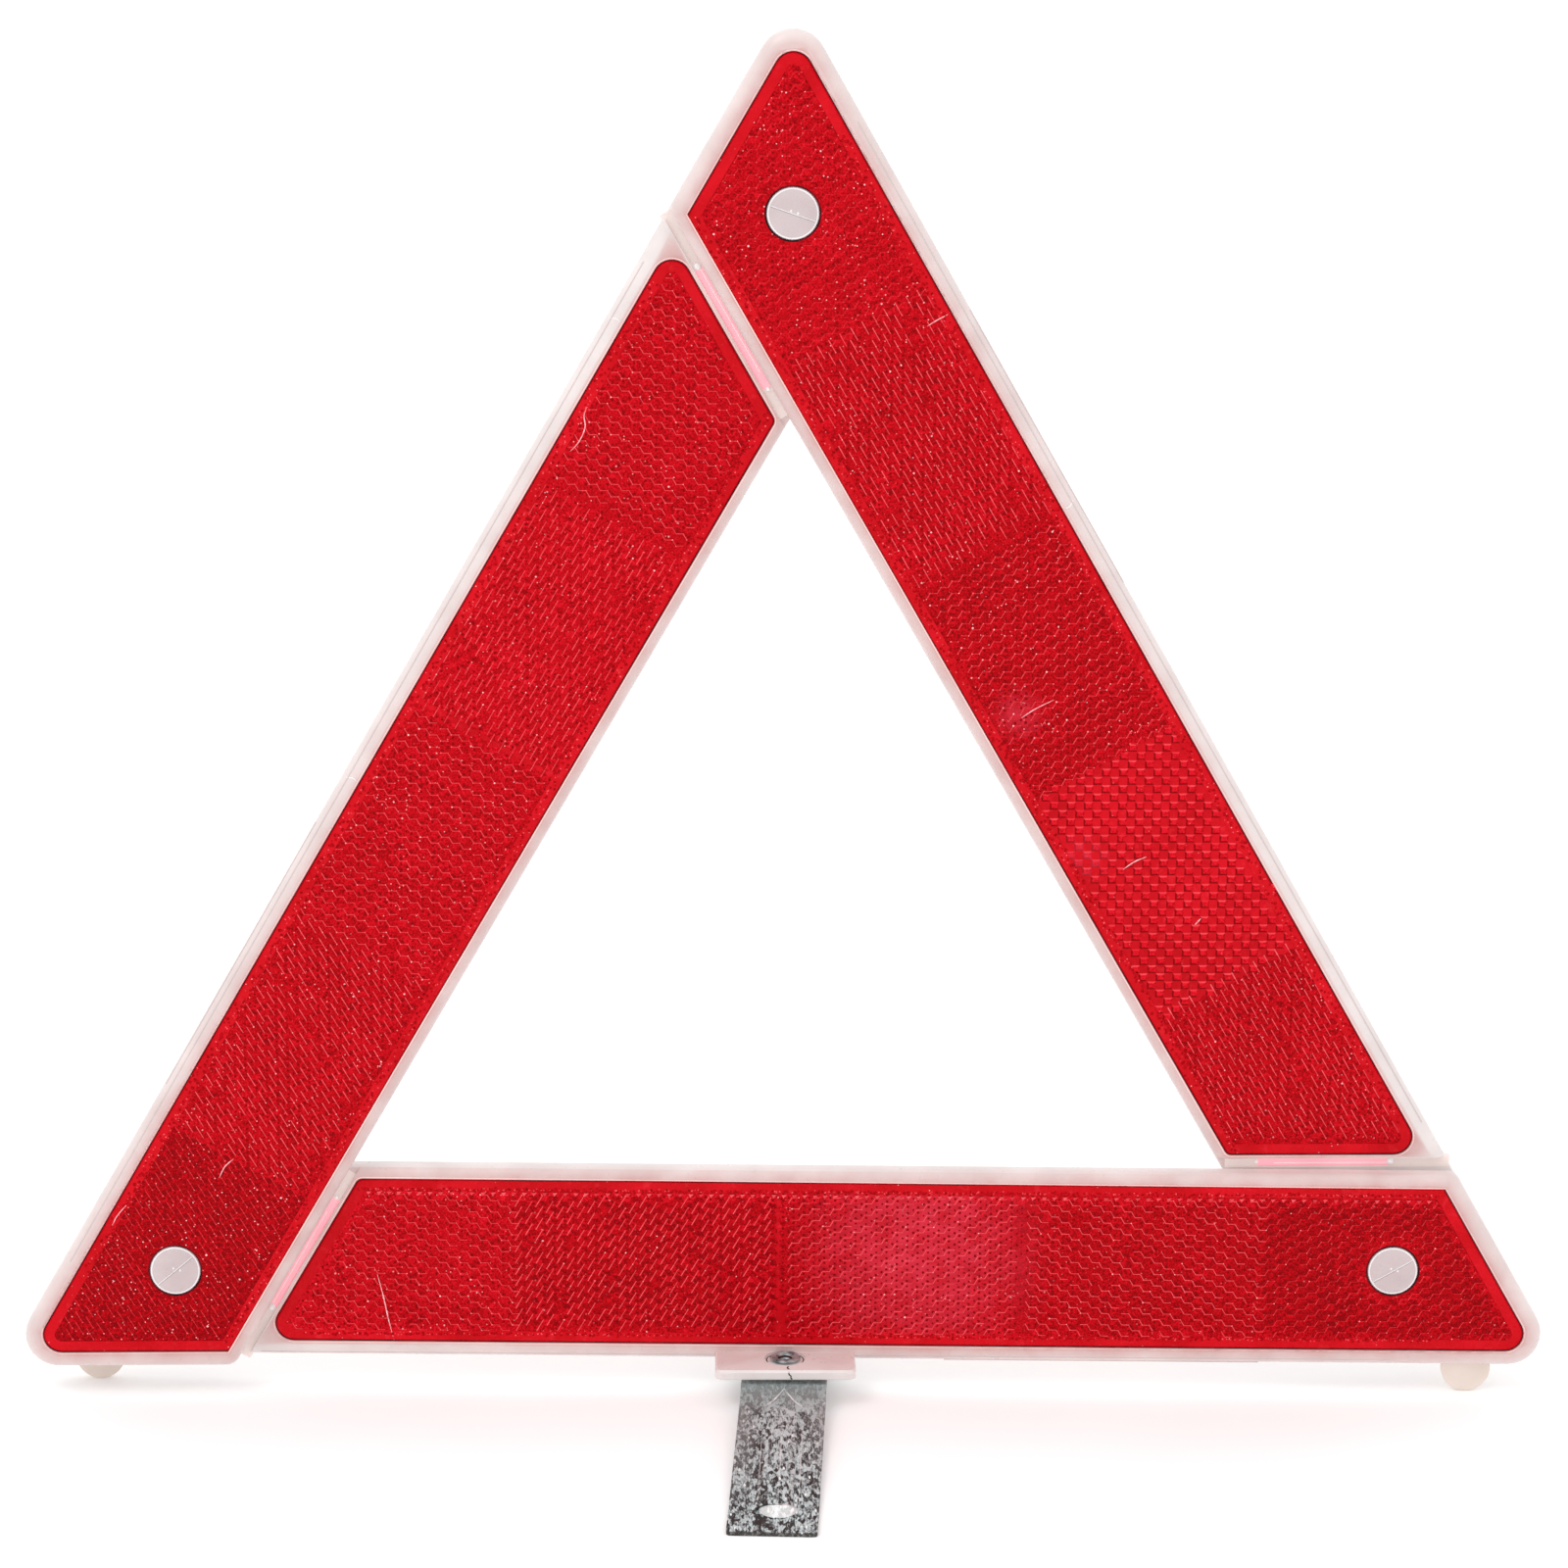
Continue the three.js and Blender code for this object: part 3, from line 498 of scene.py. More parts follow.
# -------- arms
class Arm:
    """An arm's front plane, read from its packed reflector and pins."""

    def __init__(self, name):
        pins = ARMS[name]
        self.name = name
        self.body = f"{name}_arm"
        self.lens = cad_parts[f"{name}_arm_reflector"].data
        self.lens_tree = tree_of(f"{name}_arm_reflector")
        self.housing_tree = tree_of(f"{name}_arm_housing")
        facing = [face for face in self.lens.polygons if face.normal.dot(VIEWER) > 0.9]
        total = Vector()
        for face in facing:
            total += face.normal * face.area
        self.normal = total.normalized()
        heights = [face.center.dot(self.normal) for face in facing]
        self.front = max(heights)
        self.floor = min(heights) - self.front
        self.origin = self.pin_centre(pins["head"])
        run = self.pin_centre(pins["tail"]) - self.origin
        self.along = (run - run.dot(self.normal) * self.normal).normalized()
        self.out = self.normal.cross(self.along)
        sideways = Vector((1, 0, 0))
        self.across = (sideways - sideways.dot(self.normal) * self.normal).normalized()
        self.up = self.normal.cross(self.across)
        lean = math.cos(math.radians(30))
        self.tail_side = lean * self.along - 0.5 * self.out
        self.head_side = -lean * self.along - 0.5 * self.out

    def pin_centre(self, pin):
        """The middle of a pin's head, brought onto this arm's front plane."""
        points = points_of(pin)
        top = max(point.dot(self.normal) for point in points)
        face = [point for point in points if point.dot(self.normal) > top - 0.6 * MM]
        centre = sum(face, Vector()) / len(face)
        return centre + (self.front - centre.dot(self.normal)) * self.normal

    def at(self, along, out, height=0.0):
        """A point in millimetres: from the head pin to the tail, outwards, off the front."""
        return self.origin + (along * self.along + out * self.out + height * self.normal) * MM

    def lattice(self, x, z, height=0.0):
        """A point in millimetres: level, upwards and off the front, from the head pin."""
        return self.origin + (x * self.across + z * self.up + height * self.normal) * MM

    def run(self, point):
        """How far a point lies along the arm from its head pin, in millimetres."""
        return (point - self.origin).dot(self.along) / MM

    def height_behind(self, point):
        """The reflector's height straight behind a point, from its front."""
        hit = self.lens_tree.ray_cast(point + CAST * self.normal, -self.normal)[0]
        return math.inf if hit is None else hit.dot(self.normal) - self.front

    def on_field(self, point):
        """Whether the reflector's recessed field lies straight behind a point."""
        return abs(self.height_behind(point) - self.floor) < 0.03 * MM

    def on_border(self, point):
        """Whether the reflector's plain border lies straight behind a point."""
        return abs(self.height_behind(point)) < 0.02 * MM

    def on_pin(self, point):
        return (point - self.origin).length < PIN_CLEAR * MM

    def clear_of_pin(self, point):
        """The point itself, or pushed out to the ring round the pin's head."""
        off = point - self.origin
        flat = off - off.dot(self.normal) * self.normal
        short = PIN_CLEAR * MM - flat.length
        return point + short * flat.normalized() if short > 0 else point

    def free_field(self, place):
        """Whether a lattice place lies on the recessed field, clear of the pin."""
        point = self.lattice(*place)
        return self.on_field(point) and not self.on_pin(point)

    def field_sides(self):
        """The four straight sides of the recessed field: a point on each and its direction."""
        floor = [self.lens.vertices[index].co for face in self.lens.polygons
                 if face.normal.dot(self.normal) > 0.99
                 and face.center.dot(self.normal) - self.front < self.floor / 2
                 for index in face.vertices]
        for side in (self.out, -self.out, self.tail_side, self.head_side):
            yield max(floor, key=lambda point: point.dot(side)), side


# -------- prism fields
SPOKES = [PRISM_SIDE * way for way in turns(3)]
VALUES = ("tone", "glint", "dust", "haze")


class Patch:
    """Gathers faces with the values that the prism material reads."""

    def __init__(self):
        self.points = []
        self.faces = []
        self.values = {name: [] for name in VALUES}

    def face(self, corners, **values):
        start = len(self.points)
        self.points.extend(corners)
        self.faces.append(range(start, start + len(corners)))
        for name, store in self.values.items():
            store.append(values.get(name, 0.0))

    def cone(self, ring, tip, **values):
        """A closed little pyramid."""
        for k, corner in enumerate(ring):
            self.face([corner, ring[(k + 1) % len(ring)], tip], **values)
        self.face(ring[::-1], **values)

    def bar(self, a, b, normal, **values):
        """A closed three-sided ridge from a to b."""
        side = (b - a).normalized().cross(normal) * BAR_HALF * MM
        sink = -0.02 * MM * normal
        rise = BAR_LIFT * MM * normal
        near = [a - side + sink, a + side + sink, a + rise]
        far = [b - side + sink, b + side + sink, b + rise]
        for k in range(3):
            n = (k + 1) % 3
            self.face([near[k], far[k], far[n], near[n]], **values)
        self.face(near, **values)
        self.face(far[::-1], **values)

    def mesh(self, name):
        mesh = bpy.data.meshes.new(name)
        mesh.from_pydata(self.points, [], self.faces)
        for key, store in self.values.items():
            mesh.attributes.new(key, "FLOAT", "FACE").data.foreach_set("value", store)
        return mesh


def style_at(arm, run):
    index = sum(run > end for end in PANEL_ENDS)
    return STYLES[PANELS[arm.name][index]]


def haze_at(arm, point):
    total = 0.0
    for along, out, radius, strength in HAZE[arm.name]:
        far = (point - arm.at(along, out)).length / (radius * MM)
        total += strength * max(0.0, 1 - far ** 2) ** 2
    return total


def in_seam(arm, point):
    return any(abs(arm.run(point) - middle) < half for middle, half in SEAMS[arm.name])


def prism(arm, sheet, marks, centre):
    """One three-sided prism: three rhombs round its centre, its bright bars and its glints."""
    heights = [FIELD_LOW + PRISM_STEP * k for k in range(3)]
    middle = arm.lattice(*centre, heights[0])
    style = style_at(arm, arm.run(middle))
    if style is STYLES["blocks"]:
        return
    haze = haze_at(arm, middle)
    whole = all(arm.on_field(arm.lattice(*(centre + turn * spoke)))
                for spoke in SPOKES for turn in (1, -1))
    for k, spoke in enumerate(SPOKES):
        after = SPOKES[(k + 1) % 3]
        corners = [(centre, 0), (centre + spoke, 1), (centre + spoke + after, 2),
                   (centre + after, 1)]
        rhomb = [arm.lattice(*place, heights[level]) for place, level in corners]
        if in_seam(arm, (rhomb[0] + rhomb[2]) / 2) or all(map(arm.on_pin, rhomb)):
            continue
        rhomb = [arm.clear_of_pin(corner) for corner in rhomb]
        # Each facet's tone is painted shade that follows its direction.
        tone = style.tones[k] + random.uniform(-0.07, 0.07)
        if arm.name == "base" and not whole:
            tone += CUT_TONE
        sheet.face(rhomb, tone=tone, dust=style.dust, haze=haze)
        heart = centre + (spoke + after) / 2
        # Dark specks painted as the shade in pits between the prisms.
        if random.random() < style.pits and arm.free_field(heart):
            speck(arm, marks, heart, random.uniform(0.3, 0.48), FIELD_LOW + PRISM_STEP,
                  tone=PIT_SHADE_TONE)
    if in_seam(arm, middle) or not arm.free_field(centre):
        return
    reach = style.sides
    # Bars along the spokes are painted highlights on the prisms' lit edges; glints paint lit
    # corners.
    for spoke, strength in zip(SPOKES, style.bars):
        glint = strength * random.uniform(0.5, 1.15)
        if strength and random.random() > 0.07 and arm.free_field(centre + reach * spoke):
            end = arm.lattice(*(centre + reach * spoke), heights[reach])
            marks.bar(middle, end, arm.normal, glint=min(glint, 1), tone=MARK_TONE)
    for spoke in (Vector((0, 0)), *SPOKES):
        if random.random() < style.sparks / 2 and arm.free_field(centre + spoke):
            glint_at(arm, marks, centre + spoke)


def speck(arm, marks, place, size, height, rise=0.03, **values):
    """A low six-sided cone on the lattice."""
    ring = [arm.lattice(*(place + size * way), height) for way in turns(6)]
    marks.cone(ring, arm.lattice(*place, height + rise), **values)


def glint_at(arm, marks, place):
    """A prism corner that catches the light."""
    speck(arm, marks, place, random.uniform(0.14, 0.28), FIELD_LOW, 0.13,
          glint=random.uniform(0.4, 1.2) + (random.random() < 0.15), tone=MARK_TONE)


def border_burrs(arm, marks):
    """Specks where the field's rough edge runs up onto the plain border."""
    for point, side in arm.field_sides():
        if abs(side.dot(arm.out)) < 0.9:
            continue
        reach = BURR_REACH[arm.name]
        level = point - arm.run(point) * MM * arm.along
        for k in range(BURRS["count"]):
            away = random.triangular(-0.2, reach, 0.2) * MM
            run = BURRS["step"] * k + random.random() - BURRS["before"]
            spot = level + side * away + arm.along * run * MM
            if arm.on_border(spot):
                off = spot - arm.origin
                place = Vector((off.dot(arm.across), off.dot(arm.up))) / MM
                # Bright burrs carry a painted highlight; the others are darker specks.
                bright = random.random() < BURRS["bright"]
                size = random.uniform(0.14, 0.26) if bright else random.uniform(0.3, 0.6)
                speck(arm, marks, place, size, 0.005, 0.02, tone=MARK_TONE if bright else 0.36,
                      glint=random.uniform(0.3, 1.0) if bright else 0.0)


def block(arm, marks, centre):
    """One raised block with a lit upper slope and dark lower slopes."""
    style = STYLES["blocks"]
    wide, tall, slope = BLOCK["half_width"], BLOCK["half_height"], BLOCK["slope"]
    low = [Vector((centre.x + sx * wide, centre.y + sy * tall)) for sx, sy in SIGNS]
    high = [Vector((centre.x + sx * (wide - slope), centre.y + sy * (tall - slope)))
            for sx, sy in SIGNS]
    if not arm.free_field(centre):
        return
    foot = [arm.lattice(*place, FIELD_BACK) for place in low]
    top = [arm.lattice(*place, BLOCK["top"]) for place in high]
    haze = haze_at(arm, top[0])
    # The top and slopes carry painted light and shade: a lit upper slope with a painted highlight,
    # dark lower and left slopes.
    marks.face(top, tone=style.tones[1] + random.uniform(-0.05, 0.05), dust=style.dust,
               haze=haze)
    for k, tone in enumerate((0.0, 0.6, style.tones[2], style.tones[0])):
        n = (k + 1) % 4
        marks.face([foot[k], foot[n], top[n], top[k]], tone=tone + random.uniform(-0.06, 0.06),
                   glint=random.uniform(0.1, 0.5) if k == 2 else 0.0, haze=haze)
    marks.face(foot[::-1], tone=0.3)


def border_teeth(arm, marks):
    """Bright cut-off prisms along the field's level upper side, painted as highlights."""
    for point, side in arm.field_sides():
        if side.dot(arm.up) < 0.9:
            continue
        edge = (point - arm.origin).dot(arm.up) / MM - 0.25
        for k in range(-110, 8):
            start = 1.5 * PRISM_SIDE * k + random.uniform(-0.15, 0.15)
            corners = [(start, edge - 0.2), (start + 0.5, edge - 1.2), (start + 1.4, edge - 0.2)]
            if all(map(arm.free_field, corners)):
                ring = [arm.lattice(*corner, FIELD_LOW + 0.08) for corner in corners]
                tip = arm.lattice(start + 0.6, edge - 0.5, FIELD_LOW + 0.14)
                marks.cone(ring, tip, glint=random.uniform(0.3, 0.95), tone=MARK_TONE)


def grid_centres(arm, step_x, step_z, stagger):
    """Centres of a staggered grid over the arm's reflector."""
    low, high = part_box(f"{arm.name}_arm_reflector")
    columns = [(x - arm.origin.x) / MM / step_x for x in (low.x, high.x)]
    rows = [(z - arm.origin.z) / MM / step_z for z in (low.z, high.z)]
    for row in range(math.floor(rows[0]) - 1, math.ceil(rows[1]) + 2):
        for column in range(math.floor(columns[0]) - 1, math.ceil(columns[1]) + 2):
            centre = Vector((column * step_x + (row % 2) * stagger, row * step_z))
            point = arm.lattice(*centre)
            if abs((point - arm.origin).dot(arm.out)) < 26 * MM:
                yield centre, point


def closed_sheet(arm, sheet, name):
    """The rhombs as one body: cut straight at the field's sides, with a flat back."""
    mesh = sheet.mesh(name)
    work = bmesh.new()
    work.from_mesh(mesh)
    bmesh.ops.remove_doubles(work, verts=work.verts, dist=0.002 * MM)
    for point, side in arm.field_sides():
        everything = [*work.verts, *work.edges, *work.faces]
        bmesh.ops.bisect_plane(work, geom=everything, plane_co=point - 0.05 * MM * side,
                               plane_no=side, clear_outer=True)
    grown = bmesh.ops.extrude_face_region(work, geom=work.faces[:], use_keep_orig=True)
    for item in grown["geom"]:
        if isinstance(item, bmesh.types.BMVert):
            height = (item.co.dot(arm.normal) - arm.front) / MM
            item.co += (FIELD_BACK - height) * MM * arm.normal
    bmesh.ops.recalc_face_normals(work, faces=work.faces)
    work.to_mesh(mesh)
    work.free()
    return mesh


def prism_field(arm):
    sheet, marks = Patch(), Patch()
    for centre, _ in grid_centres(arm, 3 * PRISM_SIDE, PRISM_SIDE * math.sqrt(3) / 2,
                                  1.5 * PRISM_SIDE):
        prism(arm, sheet, marks, centre)
    for centre, point in grid_centres(arm, BLOCK["across"], BLOCK["up"], BLOCK["across"] / 2):
        if style_at(arm, arm.run(point)) is STYLES["blocks"]:
            block(arm, marks, centre)
    border_teeth(arm, marks)
    border_burrs(arm, marks)
    add_piece(f"{arm.name}_prism_field", closed_sheet(arm, sheet, f"{arm.name}_prisms"),
              arm.body, [PRISMS])
    add_piece(f"{arm.name}_prism_edges", marks.mesh(f"{arm.name}_prism_edges"),
              arm.body, [PRISMS])


# -------- small trims
def across_ridge(work, point, way, normal, half, lift, sink):
    """The four corners of a ridge where its path passes a point."""
    side = way.normalized().cross(normal) * half * MM
    foot = -sink * MM * normal
    top = lift * MM * normal
    corners = [point - side + foot, point + side + foot,
               point + RIDGE_TOP * side + top, point - RIDGE_TOP * side + top]
    return [work.verts.new(corner) for corner in corners]


def skin(work, rings, closed=False):
    """Faces from ring to ring of corners, with both ends covered unless they meet."""
    for near, far in zip(rings, [*rings[1:], rings[0]] if closed else rings[1:]):
        for k in range(len(near)):
            n = (k + 1) % len(near)
            work.faces.new([near[k], far[k], far[n], near[n]])
    if not closed:
        work.faces.new(rings[0])
        work.faces.new(rings[-1][::-1])


def ridge(work, path, normal, halves, lifts, sink=0.04):
    """A closed ridge along a path, with a flat top; halves and lifts may vary by point."""
    halves, lifts = ([value] * len(path) if isinstance(value, (int, float)) else value
                     for value in (halves, lifts))
    ways = [after - before for before, after in zip([path[0], *path], [*path[1:], path[-1]])]
    skin(work, [across_ridge(work, point, way, normal, half, lift, sink)
                for point, way, half, lift in zip(path, ways, halves, lifts)])


def ring_ridge(work, path, normal, half, lift, sink=0.04):
    """A closed ridge round a closed path."""
    ways = [after - before for before, after in zip([path[-1], *path], [*path[1:], path[0]])]
    skin(work, [across_ridge(work, point, way, normal, half, lift, sink)
                for point, way in zip(path, ways)], closed=True)


def lens_outline(arm, offset):
    """Points round the reflector's front outline, moved outwards, in millimetres."""
    flat = sorted({(round(point.dot(arm.along) / MM, 3), round(point.dot(arm.out) / MM, 3))
                   for point in (vertex.co - arm.origin for vertex in arm.lens.vertices)})
    hull = [Vector(flat[k]) for k in convex_hull_2d(flat)]
    kept = [point for k, point in enumerate(hull) if (point - hull[k - 1]).length > 0.2]
    moved = []
    for k, point in enumerate(kept):
        step = (kept[(k + 1) % len(kept)] - point).normalized() + (point - kept[k - 1]).normalized()
        moved.append(point + offset * Vector((step.y, -step.x)).normalized())
    return moved


def pocket_edge(arm):
    """Painted shade in the gap round a reflector, and the fine raised lip on the housing beside it,
    painted bright as a highlight.
    """
    gap = bmesh.new()
    path = [arm.at(*point, POCKET["sink"]) for point in lens_outline(arm, POCKET["gap"])]
    ring_ridge(gap, path, arm.normal, POCKET["line"], 0.05)
    trim_piece(f"{arm.name}_pocket_gap", gap, arm.body, GAP_SHADE)
    lip = bmesh.new()
    path = [arm.at(*point) for point in lens_outline(arm, POCKET["lip"])]
    ring_ridge(lip, path, arm.normal, POCKET["lip_half"], 0.0, 0.14)
    trim_piece(f"{arm.name}_pocket_lip", lip, arm.body, LIP_HIGHLIGHT)


def rim_lines(arm):
    """Painted shade lines that run along the outer rim's fine steps."""
    work = bmesh.new()
    for out in RIM_LINES:
        starts = [arm.at(3 * k, out, 5) for k in range(-4, 110)]
        hits = landings(arm.housing_tree, starts, -arm.normal)
        level = sorted(hit.dot(arm.normal) for hit in hits)[len(hits) // 2]
        path = [hit for hit in hits if abs(hit.dot(arm.normal) - level) < 0.2 * MM]
        ridge(work, path, arm.normal, 0.3, 0.025)
    trim_piece(f"{arm.name}_rim_shade_lines", work, arm.body, RIM_SHADE)


def tapered(value, path):
    """Thin at both ends of a path and full in the middle."""
    last = len(path) - 1
    return [value * (0.25 + 0.75 * math.sin(math.pi * k / last)) for k in range(len(path))]


def trim_piece(name, work, body, material):
    bmesh.ops.recalc_face_normals(work, faces=work.faces)
    mesh = bpy.data.meshes.new(name)
    work.to_mesh(mesh)
    work.free()
    return add_piece(name, mesh, body, [material])


def smooth_path(points, steps=5):
    """A Catmull-Rom line through points."""
    padded = [points[0], *points, points[-1]]
    line = []
    for a, b, c, d in zip(padded, padded[1:], padded[2:], padded[3:]):
        for k in range(steps):
            t = k / steps
            line.append(0.5 * ((2 * b) + (c - a) * t + (2 * a - 5 * b + 4 * c - d) * t ** 2
                               + (3 * b - a - 3 * c + d) * t ** 3))
    return [*line, points[-1]]


def scratches(arm):
    work = bmesh.new()
    for scratch in SCRATCHES[arm.name]:
        flat = smooth_path([Vector(point) for point in scratch])
        path = [arm.at(*point, -0.03) for point in flat]
        ridge(work, path, arm.normal, tapered(0.17, path), tapered(0.07, path), 0.1)
    trim_piece(f"{arm.name}_scratches", work, arm.body, SCRATCH)


def rim_marks(arm):
    """Short raised witness lines that cross the outer rim."""
    if not RIM_MARKS[arm.name]:
        return
    work = bmesh.new()
    for along in RIM_MARKS[arm.name]:
        starts = [arm.at(along + 0.5 * math.sin(k), 23.6 + 0.7 * k, 5) for k in range(6)]
        path = landings(arm.housing_tree, starts, -arm.normal)
        ridge(work, path, arm.normal, tapered(0.16, path), 0.05)
    trim_piece(f"{arm.name}_rim_marks", work, arm.body, HOUSING_MARK)


def pin_trims(arm):
    """A pin head's parting line and gate marks, real marks painted bright as highlights; a painted
    shade line beside the parting line; a painted highlight round its rim; and painted shade in the
    gap round it.
    """
    pin = ARMS[arm.name]["head"]
    tree = tree_of(pin)
    slope = math.radians(PIN_LINES[arm.name])
    way = Vector((math.cos(slope), math.sin(slope)))
    aside = Vector((way.y, -way.x))

    def on_pin(place):
        return landed(tree, arm.lattice(*place, 5), -arm.normal, arm.lattice(*place))

    def line(shift):
        reaches = [PIN_TRIM["reach"] * (k / 8 - 1) for k in range(17)]
        return [on_pin(reach * way + shift * aside) for reach in reaches]

    work = bmesh.new()
    ridge(work, line(0), arm.normal, 0.13, 0.06)
    for gate in PIN_TRIM["gates"]:
        centre = on_pin(gate)
        path = [centre - 0.35 * MM * arm.up, centre, centre + 0.35 * MM * arm.up]
        ridge(work, path, arm.normal, (0.14, 0.4, 0.14), (0.03, 0.1, 0.03))
    trim_piece(f"{pin}_parting_line", work, arm.body, PIN_MARK_HIGHLIGHT)
    work = bmesh.new()
    ridge(work, line(PIN_TRIM["shade_line"]), arm.normal, 0.09, 0.02)
    trim_piece(f"{pin}_parting_shade_line", work, arm.body, PIN_SHADE)
    work = bmesh.new()
    path = [arm.lattice(*(PIN_TRIM["gap"] * turn), PIN_GAP_DEPTH) for turn in turns(60)]
    ring_ridge(work, path, arm.normal, 0.26, 0.02)
    trim_piece(f"{pin}_gap_ring", work, arm.body, GAP_SHADE)
    work = bmesh.new()
    starts = [arm.lattice(*(PIN_TRIM["rim"] * turn), 5) for turn in turns(60)]
    ring_ridge(work, landings(tree, starts, -arm.normal), arm.normal, 0.22, 0.03)
    trim_piece(f"{pin}_rim", work, arm.body, PIN_MARK_HIGHLIGHT)


def tail_channel(arm):
    """The pink-lit channel beside the reflector's tail end, with its rib and end beads."""
    size = TAIL_CHANNEL
    length = size["length"]
    edge_run = arm.normal.cross(arm.tail_side)
    points = points_of(f"{arm.name}_arm_reflector")
    edge = max(point.dot(arm.tail_side) for point in points)
    corner = max(points, key=lambda point: point.dot(arm.along + arm.out))
    start = corner.dot(edge_run) - size["start"] * MM
    offset = edge + (size["wall"] + size["width"] / 2) * MM

    def on_tail(back, aside=0.0):
        """On the recessed tail face: back from the outer end, aside from the middle line."""
        place = (edge_run * (start - back * MM) + arm.tail_side * (offset + aside * MM)
                 + arm.normal * (arm.front + 5 * MM))
        return landed(arm.housing_tree, place, -arm.normal, place - 6.5 * MM * arm.normal)

    floor = on_tail(length / 2)
    path = [on_tail(2 * k - 17) for k in range(32)]
    path = [point for point in path if abs((point - floor).dot(arm.normal)) < 0.3 * MM]
    # A glowing cream sheet over the recessed tail face paints light over its shade.
    bed = bmesh.new()
    ridge(bed, path, arm.normal, size["width"] / 2 + 0.5, 0.1)
    trim_piece(f"{arm.name}_tail_glow_bed", bed, arm.body, GLOWING_CREAM)
    # The pink strip glows: painted pink light.
    steps = [length * k / 8 for k in range(9)]
    strip = bmesh.new()
    ridge(strip, [on_tail(back) for back in steps], arm.normal, size["width"] / 2, size["thick"])
    trim_piece(f"{arm.name}_tail_channel", strip, arm.body, CHANNEL)
    beads = bmesh.new()
    lift = size["thick"] * MM * arm.normal
    ridge(beads, [on_tail(back, 0.35) + lift for back in steps[:-1]], arm.normal, size["rib"], 0.12)
    for back, radius in ((-0.6, 1.0), (length + 0.4, 0.6)):
        centre = on_tail(back) + 0.3 * MM * arm.normal
        ball = bmesh.ops.create_uvsphere(beads, u_segments=16, v_segments=10, radius=radius * MM)
        for vertex in ball["verts"]:
            vertex.co = (centre + vertex.co.x * arm.tail_side + vertex.co.y * edge_run
                         + size["bead"] * vertex.co.z * arm.normal)
    trim_piece(f"{arm.name}_tail_beads", beads, arm.body, HOUSING_MARK)


def rivet_seat():
    """Painted shade at the edge of the rivet's seat, and in the rivet's dark bore."""
    tree = tree_of("base_arm_housing")
    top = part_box("leg_rivet")[1].z * UP
    circle = [way.to_3d() * MM for way in turns(48)]
    path = [landed(tree, RIVET_SEAT["ring"] * point + 2 * CAST * UP, -UP,
                   RIVET_SEAT["ring"] * point + top - MM * UP) for point in circle]
    work = bmesh.new()
    ring_ridge(work, path, UP, 0.2, 0.04)
    path = [RIVET_SEAT["bore"] * point + top - RIVET_SEAT["sink"] * MM * UP for point in circle]
    ring_ridge(work, path, UP, 0.5, 0.0, 0.3)
    trim_piece("rivet_seat_shade", work, "base_arm", CRACK_SHADE)


def leg_details():
    """The smooth sloping ends of the pressed rib, painted bright as highlights, and painted
    highlight lines along it.
    """
    tree = tree_of("stand_leg")
    forward, aside, reach = leg_axes()

    def on_leg(ahead, side):
        point = (forward * ahead + aside * side) * MM
        return landed(tree, point + 4 * CAST * UP, -UP, point)

    ends, lines = bmesh.new(), bmesh.new()
    for turn in (1, -1):
        start = LEG_RIB["end"] * reach - 0.2
        ground = on_leg(turn * (start + LEG_RIB["slope"]), 8).z
        rings = []
        for t in (0, 0.12, 0.3, 0.5, 0.7, 0.85, 0.96):
            ahead = turn * (start + LEG_RIB["slope"] * t)
            wide = LEG_RIB["half"] * math.sqrt(1 - t * t)
            rise = LEG_RIB["rise"] * (1 - t) + 0.05
            angles = [math.pi * k / 12 for k in range(13)]
            arch = [(forward * ahead + turn * aside * wide * math.cos(angle)) * MM
                    + UP * (ground + rise * math.sin(angle) * MM) for angle in angles]
            foot = [arch[-1] - 0.3 * MM * UP, arch[0] - 0.3 * MM * UP]
            rings.append([ends.verts.new(corner) for corner in (*arch, *foot)])
        skin(ends, rings)
        for side, first, last in RIB_HIGHLIGHT_LINES:
            run = [turn * reach * (first + (last - first) * k / 14) for k in range(15)]
            path = [on_leg(ahead, turn * side + 0.12 * math.sin(ahead)) for ahead in run]
            ridge(lines, path, UP, tapered(0.13, path), tapered(0.03, path))
        # Painted highlight lines that fan out from the bend.
        for side in (-1, 1):
            path = [on_leg(turn * (11.5 + 2 * k), side * 1.3 * k) for k in range(5)]
            ridge(lines, path, UP, tapered(0.26, path), 0.05)
    trim_piece("leg_rib_ends", ends, "leg", LEG_HIGHLIGHT).data.shade_smooth()
    trim_piece("leg_highlight_lines", lines, "leg", LEG_HIGHLIGHT)


def lug_crack():
    """A split in the lug's plastic, from the rivet's seat to the front edge and down it, coloured
    with the painted shade inside it.
    """
    tree = tree_of("base_arm_housing")
    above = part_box("base_arm_housing")[1].z + CAST
    work = bmesh.new()
    starts = [Vector((x * MM, y * MM, above)) for x, y in LUG_CRACK["top"]]
    path = landings(tree, starts, -UP)
    ridge(work, path, UP, (0.2, 0.34, 0.3, 0.42, 0.42)[:len(path)], 0.03)
    edge = path[-1].z
    starts = [Vector((x * MM, -10 * CAST, edge - drop * MM)) for x, drop in LUG_CRACK["front"]]
    ridge(work, landings(tree, starts, -VIEWER), VIEWER, 0.24, 0.03)
    trim_piece("lug_crack", work, "base_arm", CRACK_SHADE)


# -------- stage, light and camera
def stage():
    mesh = bpy.data.meshes.new("floor")
    corners = [Vector((x, y, 0)) * FLOOR_REACH for x, y in SIGNS]
    mesh.from_pydata(corners, [], [(0, 1, 2, 3)])
    mesh.materials.append(PAPER)
    add_object("floor", mesh)


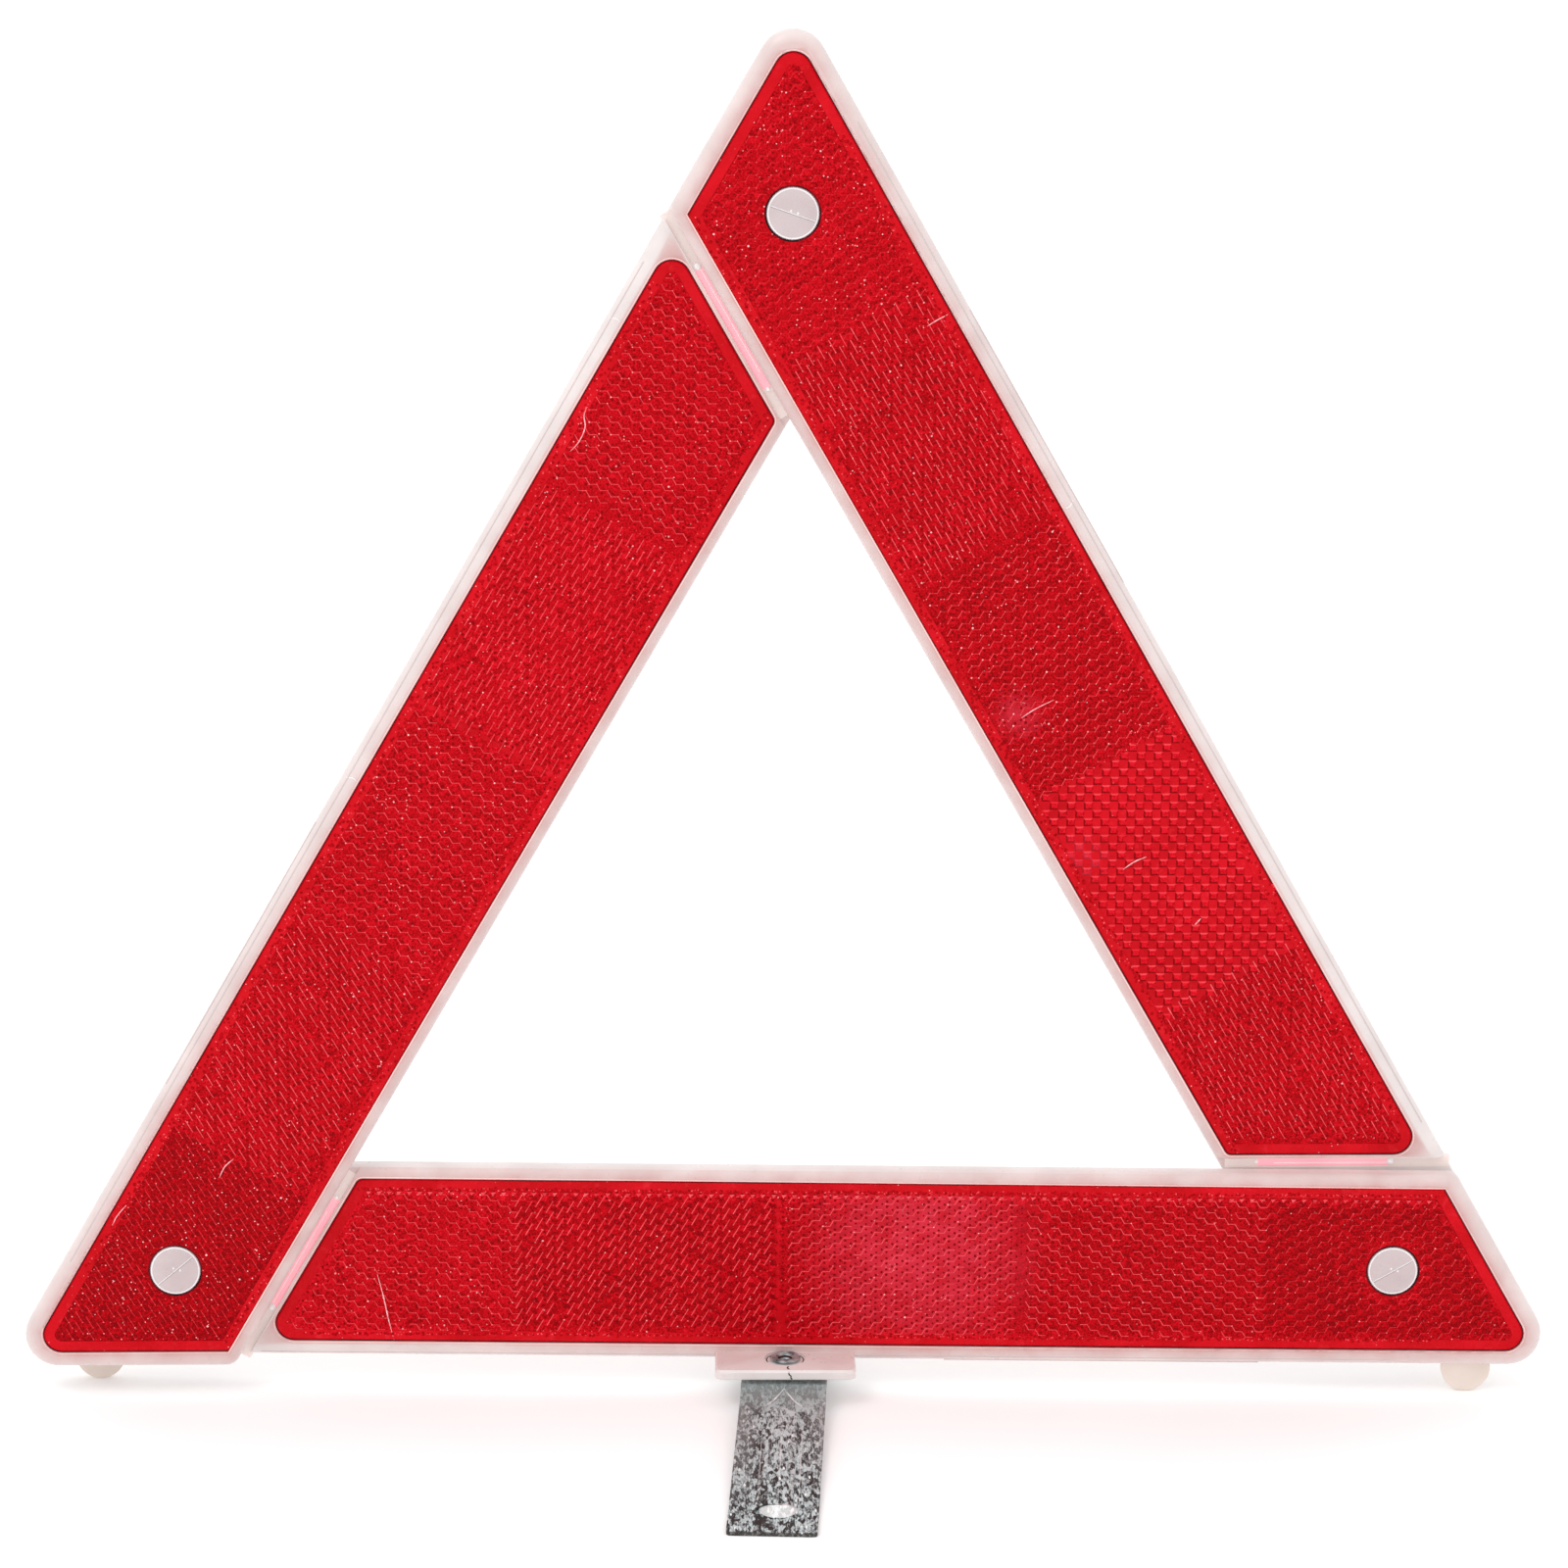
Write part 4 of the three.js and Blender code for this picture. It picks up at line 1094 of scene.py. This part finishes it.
def key_light():
    data = bpy.data.lights.new("key", "AREA")
    data.shape = "DISK"
    data.size = KEY["size"]
    data.energy = KEY["watts"]
    light = add_object("key", data)
    light.location = KEY["place"]
    aim = Vector(KEY["aim"]) - Vector(KEY["place"])
    light.rotation_euler = aim.to_track_quat("-Z", "Y").to_euler()


def studio():
    world = bpy.data.worlds.new("studio")
    world.use_nodes = True
    sky = world.node_tree.nodes["Background"].inputs
    sky["Color"].default_value = (1, 1, 1, 1)
    sky["Strength"].default_value = SKY
    bpy.context.scene.world = world
    bpy.context.scene.view_settings.view_transform = "Standard"
    key_light()


def camera():
    data = bpy.data.cameras.new("camera")
    data.lens = CAMERA["lens"]
    data.clip_end = 60
    eye = add_object("camera", data)
    turn = (Matrix.Rotation(math.radians(CAMERA["left"]), 4, "Z")
            @ Matrix.Rotation(math.radians(90 - CAMERA["down"]), 4, "X")
            @ Matrix.Rotation(math.radians(-CAMERA["roll"]), 4, "Z"))
    eye.matrix_world = Matrix.Translation(CAMERA["place"]) @ turn
    bpy.context.scene.camera = eye


# -------- assembly
camera()
studio()
stage()
arms = {name: Arm(name) for name in ARMS}
for name, arm in arms.items():
    beside = [name, ARMS[name]["front"]]
    dressed(f"{name}_arm_housing", arm.body, [HOUSING], 0.16, glow_painter(beside))
    dressed(f"{name}_arm_reflector", arm.body, [RED, RED_FLOOR], 0.08,
            floor_painter(arm))
    dressed(ARMS[name]["head"], arm.body, [PIN_WHITE], 0.15)
    prism_field(arm)
    scratches(arm)
    rim_marks(arm)
    pin_trims(arm)
    pocket_edge(arm)
    rim_lines(arm)
    tail_channel(arm)
for corner, body in (("lower_right", "base_arm"), ("top", "right_arm"), ("lower_left", "left_arm")):
    dressed(f"{corner}_spacer", body, [PIN_WHITE], 0.1)
    dressed(f"{corner}_retainer", body, [RIVET], 0.1)
for side in ("left", "right"):
    dressed(f"{side}_foot", "base_arm", [FOOT_CREAM], 0.5)
dressed("leg_rivet", "base_arm", [RIVET], 0.08)
dressed("leg_washer", "base_arm", [ZINC], 0.08)
dressed("stand_leg", "leg", [ZINC, SHEARED], 0.12, strip_painter)
rivet_seat()
lug_crack()
leg_details()
